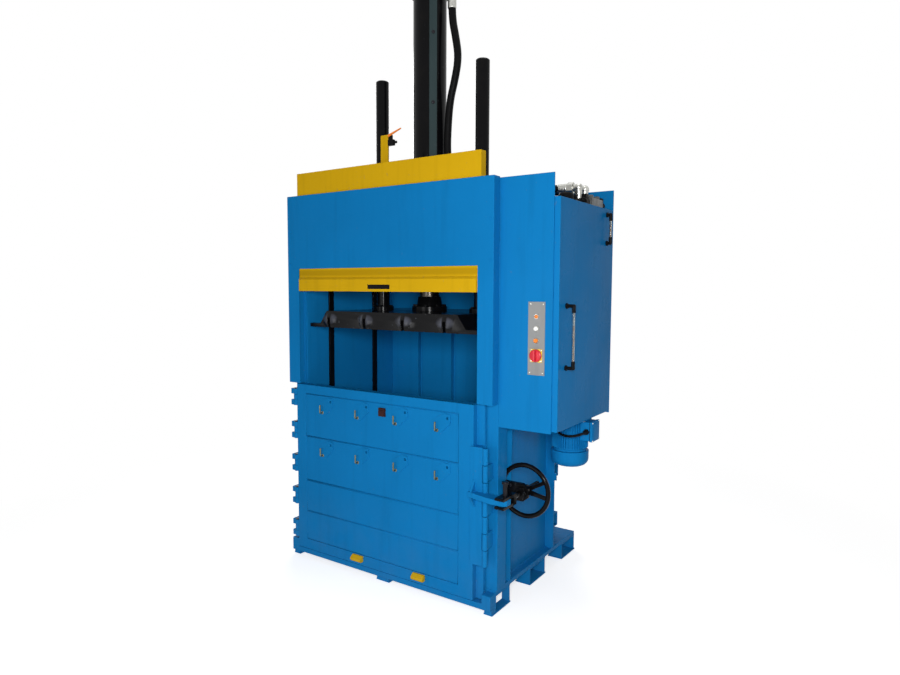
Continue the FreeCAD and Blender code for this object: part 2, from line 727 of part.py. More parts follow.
# The bottom of the gate leans out into a handle ledge with a grip slot.
lip_half = opening_half - d.gate_lip_clear
lip_top = gate_bottom + d.gate_lip_height
lip_front = gate_front - d.gate_lip_reach
lip = profile("yz", [[
    (gate_front, lip_top), (lip_front, lip_top - 14), (lip_front, gate_bottom),
    (gate_front, gate_bottom), (gate_front, gate_bottom + sheet_t),
    (lip_front + sheet_t, gate_bottom + sheet_t), (lip_front + sheet_t, lip_top - 17),
    (gate_front, lip_top - 8)]], (-lip_half, lip_half))
grip = box((d.grip_shift - d.grip_width / 2, d.grip_shift + d.grip_width / 2),
           (lip_front - 1, lip_front + sheet_t + 1),
           (gate_bottom + d.grip_rise, gate_bottom + d.grip_rise + d.grip_height))
node("gate_lip", cut(lip, grip))

# -------------------------------------------------------------------- platen
platen_front = chamber_front + d.platen_clear_end
platen_back = chamber_back - d.platen_clear_end
platen_half = chamber_half - d.rail_thickness - d.platen_clear_side
platen_bottom = d.frame_height - d.platen_drop
platen_top = platen_bottom + d.platen_height
rim_top = platen_bottom + d.platen_edge
block = profile("xz", [[
    (-platen_half, platen_bottom), (platen_half, platen_bottom),
    (platen_half, rim_top), (platen_half - d.platen_rim, rim_top),
    (platen_half - d.platen_rim - d.platen_slope, platen_top),
    (-platen_half + d.platen_rim + d.platen_slope, platen_top),
    (-platen_half + d.platen_rim, rim_top), (-platen_half, rim_top)]],
    (platen_front, platen_back))
dome_z = platen_bottom + d.platen_height * 0.42
domes = []
grooves = []
for x in straps:
    # A shallow cap of a ball guides the strap into the groove.
    reach = d.dome_reach
    big = (d.dome_radius * d.dome_radius + reach * reach) / (reach * 2)
    whole = ball(x, platen_front + big - reach, dome_z, big)
    domes.append(common(whole, box((x - d.dome_radius, x + d.dome_radius),
                                   (platen_front - reach - 1, platen_front + 1),
                                   (platen_bottom, platen_top))))
    grooves.append(box((x - groove, x + groove),
                       (platen_front - reach - 2, platen_back + 1),
                       (platen_bottom - 1, platen_bottom + d.strap_groove_depth)))
node("platen_block", cut(fuse(block, *domes), *grooves))

piston_low = d.frame_height + d.cylinder_length - d.piston_setback - platen_top
piston_rod = turned("xz", [
    (0, d.flange_thickness + d.flange_neck),
    (d.rod_radius, d.flange_thickness + d.flange_neck),
    (d.rod_radius, piston_low), (bore - d.running_fit, piston_low),
    (bore - d.running_fit, piston_low + d.piston_length),
    (0, piston_low + d.piston_length)])
seat(piston_rod, 0, centre_y, platen_top)
node("piston_rod", piston_rod)

rod_flange = turned("xz", [
    (0, 0), (d.flange_radius, 0), (d.flange_radius, d.flange_thickness),
    (d.flange_neck_radius, d.flange_thickness + 6),
    (d.flange_neck_radius - 8, d.flange_thickness + d.flange_neck),
    (0, d.flange_thickness + d.flange_neck)])
seat(rod_flange, 0, centre_y, platen_top)
flange_bolts = []
for i in range(8):
    angle = math.radians(45 * i + 22.5)
    flange_bolts.append(hexagon(
        "z", d.flange_bolt_circle * math.cos(angle),
        centre_y + d.flange_bolt_circle * math.sin(angle),
        platen_top + d.flange_thickness - 4, d.flange_bolt, d.flange_bolt_head + 4))
node("rod_flange", fuse(rod_flange, *flange_bolts))

columns = []
column_length = d.frame_height + d.column_rise - platen_top
for sign in (-1, 1):
    column = turned("xz", [
        (0, 0), (d.column_foot_radius, 0),
        (d.column_foot_radius, d.column_foot_thickness),
        (d.column_radius, d.column_foot_thickness),
        (d.column_radius, column_length - 6),
        (d.column_radius - 6, column_length),
        (0, column_length)])
    seat(column, d.column_spread * sign, centre_y, platen_top)
    columns.append(column)
node("guide_columns", group(*columns))

# ---------------------------------------------------------------------- door
door_left = -door_half
door_right = door_half
door_back = front + d.door_thickness
bay_left = door_left + d.stile_left
bay_right = door_right - d.stile_right
bay_bottom = d.door_bottom + d.rail_bottom_height
bay_top = d.door_top - d.rail_top_height
liner_front = door_back - d.liner_thickness

frame_ring = profile("xz", [[
    (door_left, d.door_bottom), (door_right, d.door_bottom),
    (door_right, d.door_top), (door_left, d.door_top)],
    [(bay_left, bay_bottom), (bay_right, bay_bottom),
     (bay_right, bay_top), (bay_left, bay_top)]], (front, liner_front))
# A rebate along the closing edge takes the lock leaf's backing block.
rebate_x = door_right - d.rebate_width
rebate_back = front + d.rebate_depth
rebate = box((rebate_x, door_right + 1), (front - 1, rebate_back),
             (d.door_bottom - 1, d.door_top + 1))
node("door_frame", cut(frame_ring, rebate))

strap_holes_xz = []
for x in straps:
    for z in (d.hook_high, d.hook_low):
        strap_holes_xz.append((x + d.strap_hole_side, z + d.strap_hole_rise,
                               d.strap_hole_radius))
node("door_liner", profile("xz", [[
    (door_left, d.door_bottom), (door_right, d.door_bottom),
    (door_right, d.door_top), (door_left, d.door_top)]],
    (liner_front, door_back), strap_holes_xz))


def band(z0, z1, holes):
    """A folded stiffening band with bevelled long edges."""
    y0 = front
    y1 = liner_front
    body = profile("yz", [[
        (y1, z0 + d.band_gap / 2), (y1, z1 - d.band_gap / 2),
        (y0 + d.band_bevel, z1 - d.band_gap / 2), (y0, z1 - d.band_gap / 2 - d.band_bevel),
        (y0, z0 + d.band_gap / 2 + d.band_bevel / 3),
        (y0 + d.band_bevel / 3, z0 + d.band_gap / 2)]],
        (bay_left + 1, bay_right - 1))
    if not holes:
        return body
    return cut(body, *[rod("y", x, front - 5, z, r, d.door_thickness + 10)
                       for x, z, r in holes])


upper_holes = strap_holes_xz[0::2]
lower_holes = strap_holes_xz[1::2]
node("door_bands", group(
    band(bay_bottom, d.seam_low, []), band(d.seam_low, d.seam_mid, []),
    band(d.seam_mid, d.seam_high, lower_holes), band(d.seam_high, bay_top, upper_holes)))

# Hinge groups: two outer knuckles on the post, one on the door, one pin.
hinge_x = door_left - d.hinge_axis_out
hinge_y = front + d.hinge_axis_back
third = d.hinge_height / 3
pin_radius = d.hinge_pin_radius
arm_y = (hinge_y - d.knuckle_arm / 2, hinge_y + d.knuckle_arm / 2)
pad_left = -body_half + d.knuckle_lap
post_knuckles = []
door_knuckles = []
hinge_pins = []
for i in range(5):
    z = d.hinge_lowest + d.hinge_pitch * i
    for low, high, outer in ((0, 1, True), (1, 2, False), (2, 3, True)):
        z0 = z + third * low + (d.hinge_gap if low else 0)
        z1 = z + third * high - (d.hinge_gap if high < 3 else 0)
        sleeve = rod("z", hinge_x, hinge_y, z0, d.knuckle_radius, z1 - z0)
        if outer:
            arm = box((pad_left, hinge_x), arm_y, (z0, z1))
            back = box((pad_left, pad_left + d.knuckle_pad), (arm_y[0], chamber_front), (z0, z1))
            knuckle = fuse(sleeve, arm, back)
            target = post_knuckles
        else:
            arm = box((hinge_x, door_left), arm_y, (z0, z1))
            knuckle = fuse(sleeve, arm)
            target = door_knuckles
        space = rod("z", hinge_x, hinge_y, z0 - 1, pin_radius + d.running_fit,
                    z1 - z0 + 2)
        if outer:
            space = rod("z", hinge_x, hinge_y, z0 - 1, pin_radius, z1 - z0 + 2)
        target.append(cut(knuckle, space))
    head = rod("z", hinge_x, hinge_y, z + d.hinge_height, pin_radius + d.hinge_head_lap,
               d.hinge_head)
    pin = rod("z", hinge_x, hinge_y, z, pin_radius, d.hinge_height)
    hinge_pins.append(fuse(pin, head))
node("post_knuckles", group(*post_knuckles))
node("door_knuckles", group(*door_knuckles))
node("hinge_pins", group(*hinge_pins))

# --------------------------------------------------- strap plates and hooks
strap_plates = []
strap_hooks = []
plate_front = front - d.strap_plate
for x in straps:
    for z in (d.hook_high, d.hook_low):
        hole_x = x + d.strap_hole_side
        hole_z = z + d.strap_hole_rise
        sheet_plate = profile("xz", [[
            (x - 16, z - 34), (x + 22, z - 40), (hole_x + 20, hole_z - 26),
            (hole_x + 18, hole_z + 20), (hole_x - 24, hole_z + 24),
            (x - 18, z + 40)]], (plate_front, front),
            [(hole_x, hole_z, d.strap_hole_radius)])
        strap_plates.append(sheet_plate)
        reach = (front - d.hook_reach).value
        foot_z = (z - d.hook_foot).value
        path = [V(x.value, plate_front.value, foot_z), V(x.value, reach, foot_z),
                V(x.value, reach, (z + d.hook_tip).value)]
        strap_hooks.append(tube_along(path, [d.hook_bend.value], d.hook_radius.value))
node("strap_plates", group(*strap_plates))
made("strap_hooks", Part.makeCompound(strap_hooks))

interlock_front = front - d.interlock_depth
interlock_right = d.interlock_left + d.interlock_width
interlock_top = d.interlock_low + d.interlock_height
node("interlock_block", cut(
    box((d.interlock_left, interlock_right), (interlock_front, front),
        (d.interlock_low, interlock_top)),
    box((d.interlock_left + 10, interlock_right - 10), (interlock_front - 1, interlock_front + 6),
        (interlock_top - 20, interlock_top - 10))))

wedge_low = d.door_bottom + d.wedge_rise
wedge_top = wedge_low + d.wedge_height
wedge_front = front - d.wedge_reach
wedges = []
for x in (d.wedge_left, d.wedge_right):
    wedges.append(profile("yz", [[
        (front, wedge_low), (front, wedge_top), (front - 10, wedge_top),
        (wedge_front, wedge_top - 16), (wedge_front, wedge_low + 8),
        (wedge_front + 8, wedge_low)]], (x - d.wedge_half, x + d.wedge_half)))
node("door_wedges", group(*wedges))

# ----------------------------------------------------------------- door lock
# The leaf stands on the door's closing edge and carries the slotted lug. The
# fork of the draw spindle holds the lug between its tines; the drop pin locks
# them together.
leaf_front = front - d.leaf_thickness
leaf_left = door_half - d.leaf_inset
leaf_right = leaf_left + d.leaf_width
barrel_x = leaf_right + d.barrel_radius + d.barrel_clear
barrel_y = front - d.leaf_thickness / 2
leaf = box((leaf_left, leaf_right), (leaf_front, front), (d.leaf_bottom, d.leaf_top))
leaf_back = box((rebate_x, door_right), (front, rebate_back), (d.leaf_bottom, d.leaf_top))
leaf_parts = [leaf, leaf_back]
post_barrels = []
step = (d.leaf_top - d.leaf_bottom) / 7
gap = d.barrel_count_gap / 2
for i in range(7):
    z0 = d.leaf_bottom + step * i + gap
    z1 = d.leaf_bottom + step * (i + 1) - gap
    barrel_piece = rod("z", barrel_x, barrel_y, z0, d.barrel_radius, z1 - z0)
    if i % 2 == 0:
        web = box((leaf_right - d.barrel_clear, barrel_x), (leaf_front, front), (z0, z1))
        leaf_parts += [barrel_piece, web]
    else:
        arm = box((barrel_x - d.barrel_arm / 2, barrel_x + d.barrel_arm / 2),
                  (barrel_y, chamber_front), (z0, z1))
        post_barrels.append(fuse(barrel_piece, arm))

lock_x = body_half + d.lock_axis_out
lock_z = d.lock_axis_z
lug_back = leaf_front
lug_front = leaf_front - d.lug_width
lug_low = lock_z - d.lug_thickness / 2
lug_high = lock_z + d.lug_thickness / 2
lug_end = lock_x + d.lug_nose
lug_slot = d.lock_pin_radius + d.lock_pin_clear
pin_y = lug_back - d.lug_web - lug_slot
lug_plate = profile("xy", [
    [(leaf_left + 6, lug_back), (leaf_left + 6, lug_back - 34),
     (lock_x - d.lug_taper, lug_front), (lug_end - 16, lug_front), (lug_end, lug_front + 16),
     (lug_end, lug_back - 12), (lug_end - 12, lug_back)]], (lug_low, lug_high))
slot_box = box((lock_x - lug_slot, lock_x + lug_slot), (pin_y - d.lock_travel, pin_y),
               (lug_low - 1, lug_high + 1))
slot_ends = [rod("z", lock_x, y, lug_low - 1, lug_slot, d.lug_thickness + 2)
             for y in (pin_y - d.lock_travel, pin_y)]
gussets = []
gusset_x = leaf_left + d.gusset_inset
for root, tip in ((lug_low, lug_low - d.gusset_height), (lug_high, lug_high + d.gusset_height)):
    gussets.append(profile("yz", [[
        (leaf_front, root), (leaf_front, tip), (leaf_front - d.gusset_reach, root)]],
        (gusset_x, gusset_x + d.gusset_plate)))
node("lock_leaf", fuse(cut(lug_plate, slot_box, *slot_ends), *(gussets + leaf_parts)))
node("lock_barrels", group(*post_barrels))

bracket_back = chamber_front + d.post_lip
bracket_front = bracket_back - d.bracket_thickness
wheel_y = bracket_back + d.wheel_offset

tine_low = lug_low - d.fork_gap - d.fork_tine
tine_high = lug_high + d.fork_gap + d.fork_tine
fork_x0 = lock_x - d.fork_width / 2
fork_x1 = lock_x + d.fork_width / 2
fork_root = lug_back + d.lock_travel + d.fork_clear
fork_back = fork_root + d.fork_body
fork_tip = lug_front - d.fork_reach
fork_nose = fork_tip - 6
fork_side = profile("yz", [[
    (fork_tip, tine_low), (fork_back, tine_low), (fork_back, tine_high),
    (fork_tip, tine_high), (fork_nose, tine_high - 4), (fork_nose, tine_high - 10),
    (fork_tip, tine_high - d.fork_tine), (fork_root, tine_high - d.fork_tine),
    (fork_root, tine_low + d.fork_tine), (fork_tip, tine_low + d.fork_tine),
    (fork_nose, tine_low + 10), (fork_nose, tine_low + 4)]], (fork_x0, fork_x1))
pin_space = rod("z", lock_x, pin_y, tine_low - 1, d.lock_pin_radius + d.running_fit,
                tine_high - tine_low + 2)
shank = rod("y", lock_x, fork_back, lock_z, d.spindle_radius,
            wheel_y + d.spindle_tail - fork_back)
node("lock_spindle", cut(fuse(fork_side, shank), pin_space))

pin_foot = lug_high + d.fork_gap / 2
pin_length = tine_high + d.pin_rise + d.pin_drop - pin_foot
drop_pin = rod("z", lock_x, pin_y, pin_foot, d.lock_pin_radius, pin_length)
head_radius = d.lock_pin_radius + d.pin_head_lap
pin_head = turned("xz", [(0, 0), (head_radius, 0), (head_radius, 9), (head_radius - 3, 12), (0, 12)])
seat(pin_head, lock_x, pin_y, pin_foot + pin_length)
node("lock_pin", fuse(drop_pin, pin_head))

# The bracket on the post's lip carries the handwheel, whose threaded hub draws
# the spindle.
spigot = d.wheel_hub_radius - d.hub_step
bracket_left = body_half
node("lock_bracket", profile("xz", [[
    (bracket_left, lock_z - d.bracket_height / 2),
    (lock_x + 10, lock_z - d.bracket_height / 2),
    (lock_x + 40, lock_z - d.bracket_height / 4),
    (lock_x + 40, lock_z + d.bracket_height / 4),
    (lock_x + 10, lock_z + d.bracket_height / 2),
    (bracket_left, lock_z + d.bracket_height / 2)]],
    (bracket_front, bracket_back), [(lock_x, lock_z, spigot + d.running_fit)]))

nut_back = bracket_front - d.side_play
hub = turned("xy", [
    (0, nut_back - wheel_y - 2), (spigot, nut_back - wheel_y - 2),
    (spigot, bracket_back + d.side_play - wheel_y),
    (d.wheel_hub_radius, bracket_back + d.side_play - wheel_y),
    (d.wheel_hub_radius, 18), (d.wheel_hub_radius - 6, 24), (0, 24)])
seat(hub, lock_x, wheel_y, lock_z)
hub_nut = hexagon("y", lock_x, nut_back - d.wheel_nut_length, lock_z, d.wheel_nut,
                  d.wheel_nut_length)
rim_mid = d.wheel_radius - d.wheel_rim
rim = doc.addObject("Part::Torus", fresh("rim"))
bind(rim, "Radius1", rim_mid)
bind(rim, "Radius2", d.wheel_rim)
rim.Placement = FreeCAD.Placement(V(), AXIS_TURN["y"])
seat(rim, lock_x, wheel_y, lock_z)


def wheel_bar(angle):
    """A flat bar from the hub to the rim, a little wider at the hub."""
    along = math.cos(math.radians(angle))
    rise = math.sin(math.radians(angle))
    corners = []
    for reach, half_width in ((spigot, d.spoke_width * 0.6), (rim_mid, d.spoke_width / 2)):
        for sign in (-1, 1):
            corners.append((lock_x + reach * along - half_width * (sign * rise),
                            lock_z + reach * rise + half_width * (sign * along)))
    ring = [corners[0], corners[2], corners[3], corners[1]]
    return profile("xz", [ring], (wheel_y - d.spoke_thickness / 2,
                                  wheel_y + d.spoke_thickness / 2))


wheel_bars = [wheel_bar(angle) for angle in (28, -10, 170, 208)]
spindle_bore = rod("y", lock_x, nut_back - d.wheel_nut_length - 1, lock_z,
                   d.spindle_radius + d.running_fit, 200)
node("handwheel", cut(fuse(hub, hub_nut, rim, *wheel_bars), spindle_bore))

# ------------------------------------------------------- tank and power unit
tank_y0 = chamber_front + d.end_plate
tank_y1 = tank_y0 + d.tank_length
tank_right = body_half + d.tank_depth
tank_top = d.frame_height - d.tank_drop
end_plate_top = d.frame_height + d.end_plate_rise
end_plate_right = tank_right - d.end_plate_inset
control_x = body_half + d.control_x
lid_z = tank_top - d.tank_lid_drop
wall = d.tank_wall
tank_body = box((body_half, tank_right), (tank_y0, tank_y1), (d.tank_bottom, tank_top))
recess = box((body_half + wall, tank_right - wall), (tank_y0 + wall, tank_y1 - wall),
             (lid_z, tank_top + 1))
node("oil_tank", cut(tank_body, recess))

button_zs = (d.white_z, d.orange_z)
stem_hole = d.button_stem_radius + d.button_fit
plate_holes = [(control_x, z, stem_hole) for z in button_zs]
switch_hole = d.switch_stem_radius + d.button_fit
plate_holes.append((control_x, d.switch_z, switch_hole))
# Above the post the front plate reaches over to the portal.
tab_x = portal_half - d.portal_plate
front_sheet = profile("xz", [[
    (body_half, d.end_plate_bottom), (end_plate_right, d.end_plate_bottom),
    (end_plate_right, end_plate_top), (tab_x, end_plate_top),
    (tab_x, d.frame_height), (body_half, d.frame_height)]],
    (chamber_front, tank_y0), plate_holes)
back_sheet = box((body_half, tank_right), (tank_y1, tank_y1 + d.end_plate),
                   (d.end_plate_bottom, end_plate_top))
node("tank_end_plates", group(front_sheet, back_sheet))

# The valve block stands on the tank lid with two solenoids and two elbows.
valve_x = body_half + d.valve_x
valve_y = tank_y0 + d.valve_y
valve_top = lid_z + d.valve_height
valve_body = box((valve_x - d.valve_width / 2, valve_x + d.valve_width / 2),
                 (valve_y - d.valve_length / 2, valve_y + d.valve_length / 2),
                 (lid_z, valve_top))
coil_y0 = valve_y - d.valve_length / 2 - d.coil_reach
solenoids = []
for side in (-1, 1):
    solenoids.append(rod("y", valve_x + 30 * side, coil_y0, valve_top - d.coil_drop,
                         d.coil_radius, d.valve_length + d.coil_reach * 2))
    solenoids.append(hexagon("z", valve_x + d.elbow_offset, valve_y + d.elbow_spread * side,
                             valve_top, 32, 18))
node("valve_block", fuse(valve_body, *solenoids))
breather = turned("xz", [(0, 0), (46, 0), (46, 8), (26, 8), (26, 60), (40, 68), (40, 122),
                         (32, 132), (0, 132)])
seat(breather, body_half + d.breather_x, tank_y0 + d.breather_y, lid_z)
node("breather_cap", breather)

motor_x = body_half + d.motor_x
motor_y = tank_y0 + d.motor_y
flange_z = d.tank_bottom
motor_body = turned("xz", [
    (0, 0), (d.motor_flange_radius, 0), (d.motor_flange_radius, -d.motor_flange),
    (d.motor_radius, -d.motor_flange - 6), (d.motor_radius, -d.motor_flange - d.motor_length),
    (0, -d.motor_flange - d.motor_length)])
fin_sketch = sketch_on(motor_body, "XY_Plane", -d.motor_flange - d.motor_length)
fin_half = d.motor_fin_thickness / 2
add_outline(fin_sketch, [
    (d.motor_radius - 2, -fin_half), (d.motor_radius + d.motor_fin, -fin_half),
    (d.motor_radius + d.motor_fin, fin_half), (d.motor_radius - 2, fin_half)])
fin = motor_body.newObject("PartDesign::Pad", fresh("fin"))
fin.Profile = fin_sketch
bind(fin, "Length", d.motor_length - 8)
fins = motor_body.newObject("PartDesign::PolarPattern", fresh("fins"))
fins.Originals = [fin]
fins.Axis = (fin_sketch, ["N_Axis"])
fins.Angle = 360
bind(fins, "Occurrences", d.motor_fin_count)
motor_body.Tip = fins
seat(motor_body, motor_x, motor_y, flange_z)

# The terminal box sits on a saddle between the fins on the right.
terminal_x0 = motor_x + d.motor_radius - d.terminal_inset
terminal_x1 = terminal_x0 + d.terminal_width
terminal_y0 = motor_y - d.terminal_depth / 2
terminal_y1 = motor_y + d.terminal_depth / 2
terminal_z1 = flange_z - d.motor_flange
terminal_z0 = terminal_z1 - d.terminal_height
terminal_space = box((terminal_x0, terminal_x1), (terminal_y0, terminal_y1),
                     (terminal_z0, terminal_z1))
node("motor_frame", cut(motor_body, terminal_space))

cowl_top = -d.motor_flange - d.motor_length
cowl = turned("xz", [
    (0, cowl_top), (d.cowl_radius, cowl_top),
    (d.cowl_radius, cowl_top - d.cowl_length + 44),
    (d.cowl_radius - 8, cowl_top - d.cowl_length + 22),
    (d.cowl_radius - 26, cowl_top - d.cowl_length + 6),
    (d.cowl_radius - 52, cowl_top - d.cowl_length), (0, cowl_top - d.cowl_length)])
seat(cowl, motor_x, motor_y, flange_z)
node("fan_cowl", cowl)

terminal = profile("xy", [[
    (terminal_x0, terminal_y0), (terminal_x1 - 10, terminal_y0),
    (terminal_x1, terminal_y0 + 10), (terminal_x1, terminal_y1 - 10),
    (terminal_x1 - 10, terminal_y1), (terminal_x0, terminal_y1)]],
    (terminal_z0, terminal_z1))
node("terminal_box", terminal)


def gauge(y, z0, z1, reach):
    """An oil level gauge: two elbows with a sight tube between them."""
    x = tank_right + reach
    parts = [rod("z", x, y, z0 + 34, d.gauge_tube_radius, z1 - z0 - 68)]
    for z, neck_z in ((z1, z1 - 34), (z0, z0)):
        parts.append(fuse(rod("x", tank_right, y, z, 9, reach), ball(x, y, z, 10),
                          rod("z", x, y, neck_z, 9.5, 34)))
    return parts


upper_gauge_top = tank_top - d.upper_gauge_drop
node("level_gauge", group(
    *gauge(tank_y0 + d.gauge_y, d.gauge_bottom, d.gauge_top, d.gauge_reach),
    *gauge(tank_y0 + d.upper_gauge_y, upper_gauge_top - d.upper_gauge_length,
           upper_gauge_top, d.upper_gauge_reach)))

# ------------------------------------------------------------------ controls
panel_front = chamber_front - d.control_plate
node("control_plate", profile("xz", [[
    (control_x - d.control_width / 2, d.control_bottom),
    (control_x + d.control_width / 2, d.control_bottom),
    (control_x + d.control_width / 2, d.control_top),
    (control_x - d.control_width / 2, d.control_top)]],
    (panel_front, chamber_front), plate_holes))

bezels = []
for z in button_zs:
    bezel = turned("xy", [
        (stem_hole, -d.bezel_height), (d.bezel_radius - 2, -d.bezel_height),
        (d.bezel_radius, -d.bezel_height + 2), (d.bezel_radius, 0), (stem_hole, 0)])
    seat(bezel, control_x, panel_front, z)
    bezels.append(bezel)
node("button_bezels", group(*bezels))
lamp = turned("xy", [(0, -12), (5, -11), (8, -8), (9, -4), (13, -4), (13, 0), (0, 0)])
seat(lamp, control_x, panel_front, d.lamp_z)
node("pilot_lamp", lamp)

for label, z, proud in (("button_white", d.white_z, 10), ("button_orange", d.orange_z, 13)):
    button = turned("xy", [
        (0, -proud), (d.button_stem_radius - 3, -proud),
        (d.button_stem_radius, -proud + 2), (d.button_stem_radius, 5), (0, 5)])
    seat(button, control_x, panel_front, z)
    node(label, button)

half = d.switch_plate / 2
switch_front = panel_front - d.switch_backing
node("switch_backing", profile("xz", [[
    (control_x - half, d.switch_z - half), (control_x + half, d.switch_z - half),
    (control_x + half, d.switch_z + half), (control_x - half, d.switch_z + half)]],
    (switch_front, panel_front), [(control_x, d.switch_z, switch_hole)]))
knob = turned("xy", [
    (0, -14), (d.switch_radius - 6, -14), (d.switch_radius, -9),
    (d.switch_radius, -d.seat_gap), (d.switch_stem_radius, -d.seat_gap),
    (d.switch_stem_radius, 9), (0, 9)])
seat(knob, control_x, switch_front, d.switch_z)
handle = box((control_x - 7, control_x + 7), (switch_front - 30, switch_front - 12),
             (d.switch_z - d.switch_radius + 5, d.switch_z + d.switch_radius - 5))
node("main_switch", fuse(knob, handle))

# --------------------------------------------------- gate limit switch stand
stand_y = front + d.stand_y
stand_top = d.frame_height + d.stand_height
stand_x0 = d.stand_x - d.stand_width / 2
stand_x1 = d.stand_x + d.stand_width / 2
wall = d.stand_wall
stand_post = profile("xy", [[
    (stand_x0, stand_y), (stand_x1, stand_y), (stand_x1, stand_y + d.stand_depth),
    (stand_x1 - wall, stand_y + d.stand_depth), (stand_x1 - wall, stand_y + wall),
    (stand_x0 + wall, stand_y + wall), (stand_x0 + wall, stand_y + d.stand_depth),
    (stand_x0, stand_y + d.stand_depth)]], (d.frame_height, stand_top))
stand_foot = box((stand_x0 - d.stand_foot, stand_x1 + d.stand_foot),
                 (stand_y - d.stand_foot, stand_y + d.stand_depth),
                 (d.frame_height, d.frame_height + 6))
node("limit_stand", fuse(stand_post, stand_foot))
switch_z0 = stand_top - d.switch_drop
switch_x1 = stand_x1 + d.switch_width
switch_top = switch_z0 + d.switch_height
switch_back = stand_y + d.switch_depth
pivot_x = stand_x1 + d.pivot_offset
pivot_z = switch_z0 + d.pivot_rise
node("limit_switch", cut(
    fuse(box((stand_x1, switch_x1), (stand_y, switch_back), (switch_z0, switch_top)),
         rod("x", switch_x1, stand_y + 10, switch_z0 + 16, 7, 18),
         rod("y", pivot_x, stand_y, pivot_z, 9, d.switch_depth),
         box((pivot_x - 9, pivot_x + 9), (stand_y, switch_back), (switch_top, pivot_z))),
    rod("y", pivot_x, stand_y - 1, pivot_z, d.lever_pin_radius, d.switch_depth + 2)))
lever_y1 = stand_y - d.seat_gap
lever_y0 = lever_y1 - d.lever_blade
lever_blade = profile("xz", [[
    (pivot_x - 8, pivot_z - 8), (pivot_x + 86, pivot_z + 28),
    (pivot_x + 84, pivot_z + 34), (pivot_x - 10, pivot_z + 6)]], (lever_y0, lever_y1))
lever_pin = rod("y", pivot_x, lever_y0, pivot_z, d.lever_pin_radius - d.running_fit,
                d.switch_depth + d.lever_blade)
node("limit_lever", fuse(lever_blade, lever_pin))

# ------------------------------------------------------- hoses and the lead


def route_radii(points):
    """The largest tangent arc that each corner of a route has room for."""
    radii = []
    for i in range(1, len(points) - 1):
        before = points[i] - points[i - 1]
        after = points[i + 1] - points[i]
        shorter = min(before.Length, after.Length)
        radii.append(0.45 * shorter / math.tan(before.getAngle(after) / 2))
    return radii


def flexible(points, radius):
    """A hose or lead along its route; its length and radii are printed."""
    radii = route_radii(points)
    wire = bent_path(points, radii)
    print("length %.0f, radii %s" % (wire.Length, " ".join("%.0f" % r for r in radii)))
    return tube_along(points, radii, radius)


top = d.frame_height.value
middle = centre_y.value
nut = d.hose_nut_length
neck = d.hose_radius - 3
bend = d.elbow_bend

# The cap port: an elbow that turns the hose down beside the barrel.
cap_x = port_x + d.cap_port_reach
cap_fitting = fuse(
    rod("x", port_x, centre_y, port_z, neck, d.cap_port_reach),
    ball(cap_x, centre_y, port_z, d.hose_radius),
    rod("z", cap_x, centre_y, port_z - bend, neck, bend),
    hexagon("z", cap_x, centre_y, port_z - bend - nut, d.hose_nut, nut))

# The port at the barrel's foot: an elbow on the back that turns to the right.
foot_y = centre_y + d.cylinder_radius
foot_elbow_y = foot_y + d.foot_port_reach
foot_z = d.frame_height + d.foot_port_rise
foot_fitting = fuse(
    rod("y", 0, foot_y, foot_z, neck, d.foot_port_reach),
    ball(0, foot_elbow_y, foot_z, d.hose_radius, "x"),
    rod("x", 0, foot_elbow_y, foot_z, neck, bend),
    hexagon("x", bend, foot_elbow_y, foot_z, d.hose_nut, nut))

# Both hoses end in elbows that stand on the valve block.
elbow_x = valve_x - d.elbow_offset
elbow_z = valve_top + d.elbow_rise
valve_fittings = []
for side in (-1, 1):
    y = valve_y + d.elbow_spread * side
    valve_fittings.append(fuse(
        rod("z", elbow_x, y, valve_top, neck, d.elbow_rise),
        ball(elbow_x, y, elbow_z, d.hose_radius),
        rod("x", elbow_x - bend, y, elbow_z, neck, bend),
        hexagon("x", elbow_x - bend - nut, y, elbow_z, d.hose_nut, nut)))
node("hose_fittings", group(cap_fitting, foot_fitting, *valve_fittings))

cap_end = V(cap_x.value, middle, (port_z - bend - nut).value)
foot_end = V((bend + nut).value, foot_elbow_y.value, foot_z.value)
valve_end = V((elbow_x - bend - nut).value, 0, elbow_z.value)
ends = [valve_end + V(0, (valve_y + d.elbow_spread * side).value, 0) for side in (-1, 1)]
cap_hose = flexible([
    cap_end, cap_end + V(0, 0, -112), cap_end + V(28, -1, -232), cap_end + V(50, -3, -354),
    cap_end + V(26, -3, -478), cap_end + V(-12, -2, -600),
    V(134, middle - 1, top + 426), V(134, middle - 2, top + 290),
    V(164, middle - 8, top + 181), V(244, middle - 36, top + 101),
    V(353, middle - 74, top + 70), V(460, middle - 86, top + 56),
    V(560, middle - 66, top + 50), V(670, middle - 22, top + 46),
    V(770, middle + 34, top + 42), ends[0] + V(-60, 0, 0), ends[0]],
    d.hose_radius.value)
foot_hose = flexible([
    foot_end, foot_end + V(90, 0, 0), V(290, foot_end.y - 4, top + 70),
    V(430, foot_end.y - 10, top + 52), V(570, foot_end.y - 8, top + 48),
    V(700, foot_end.y + 2, top + 44), ends[1] + V(-70, 0, 0), ends[1]],
    d.hose_radius.value)
made("hoses", Part.makeCompound([cap_hose, foot_hose]))

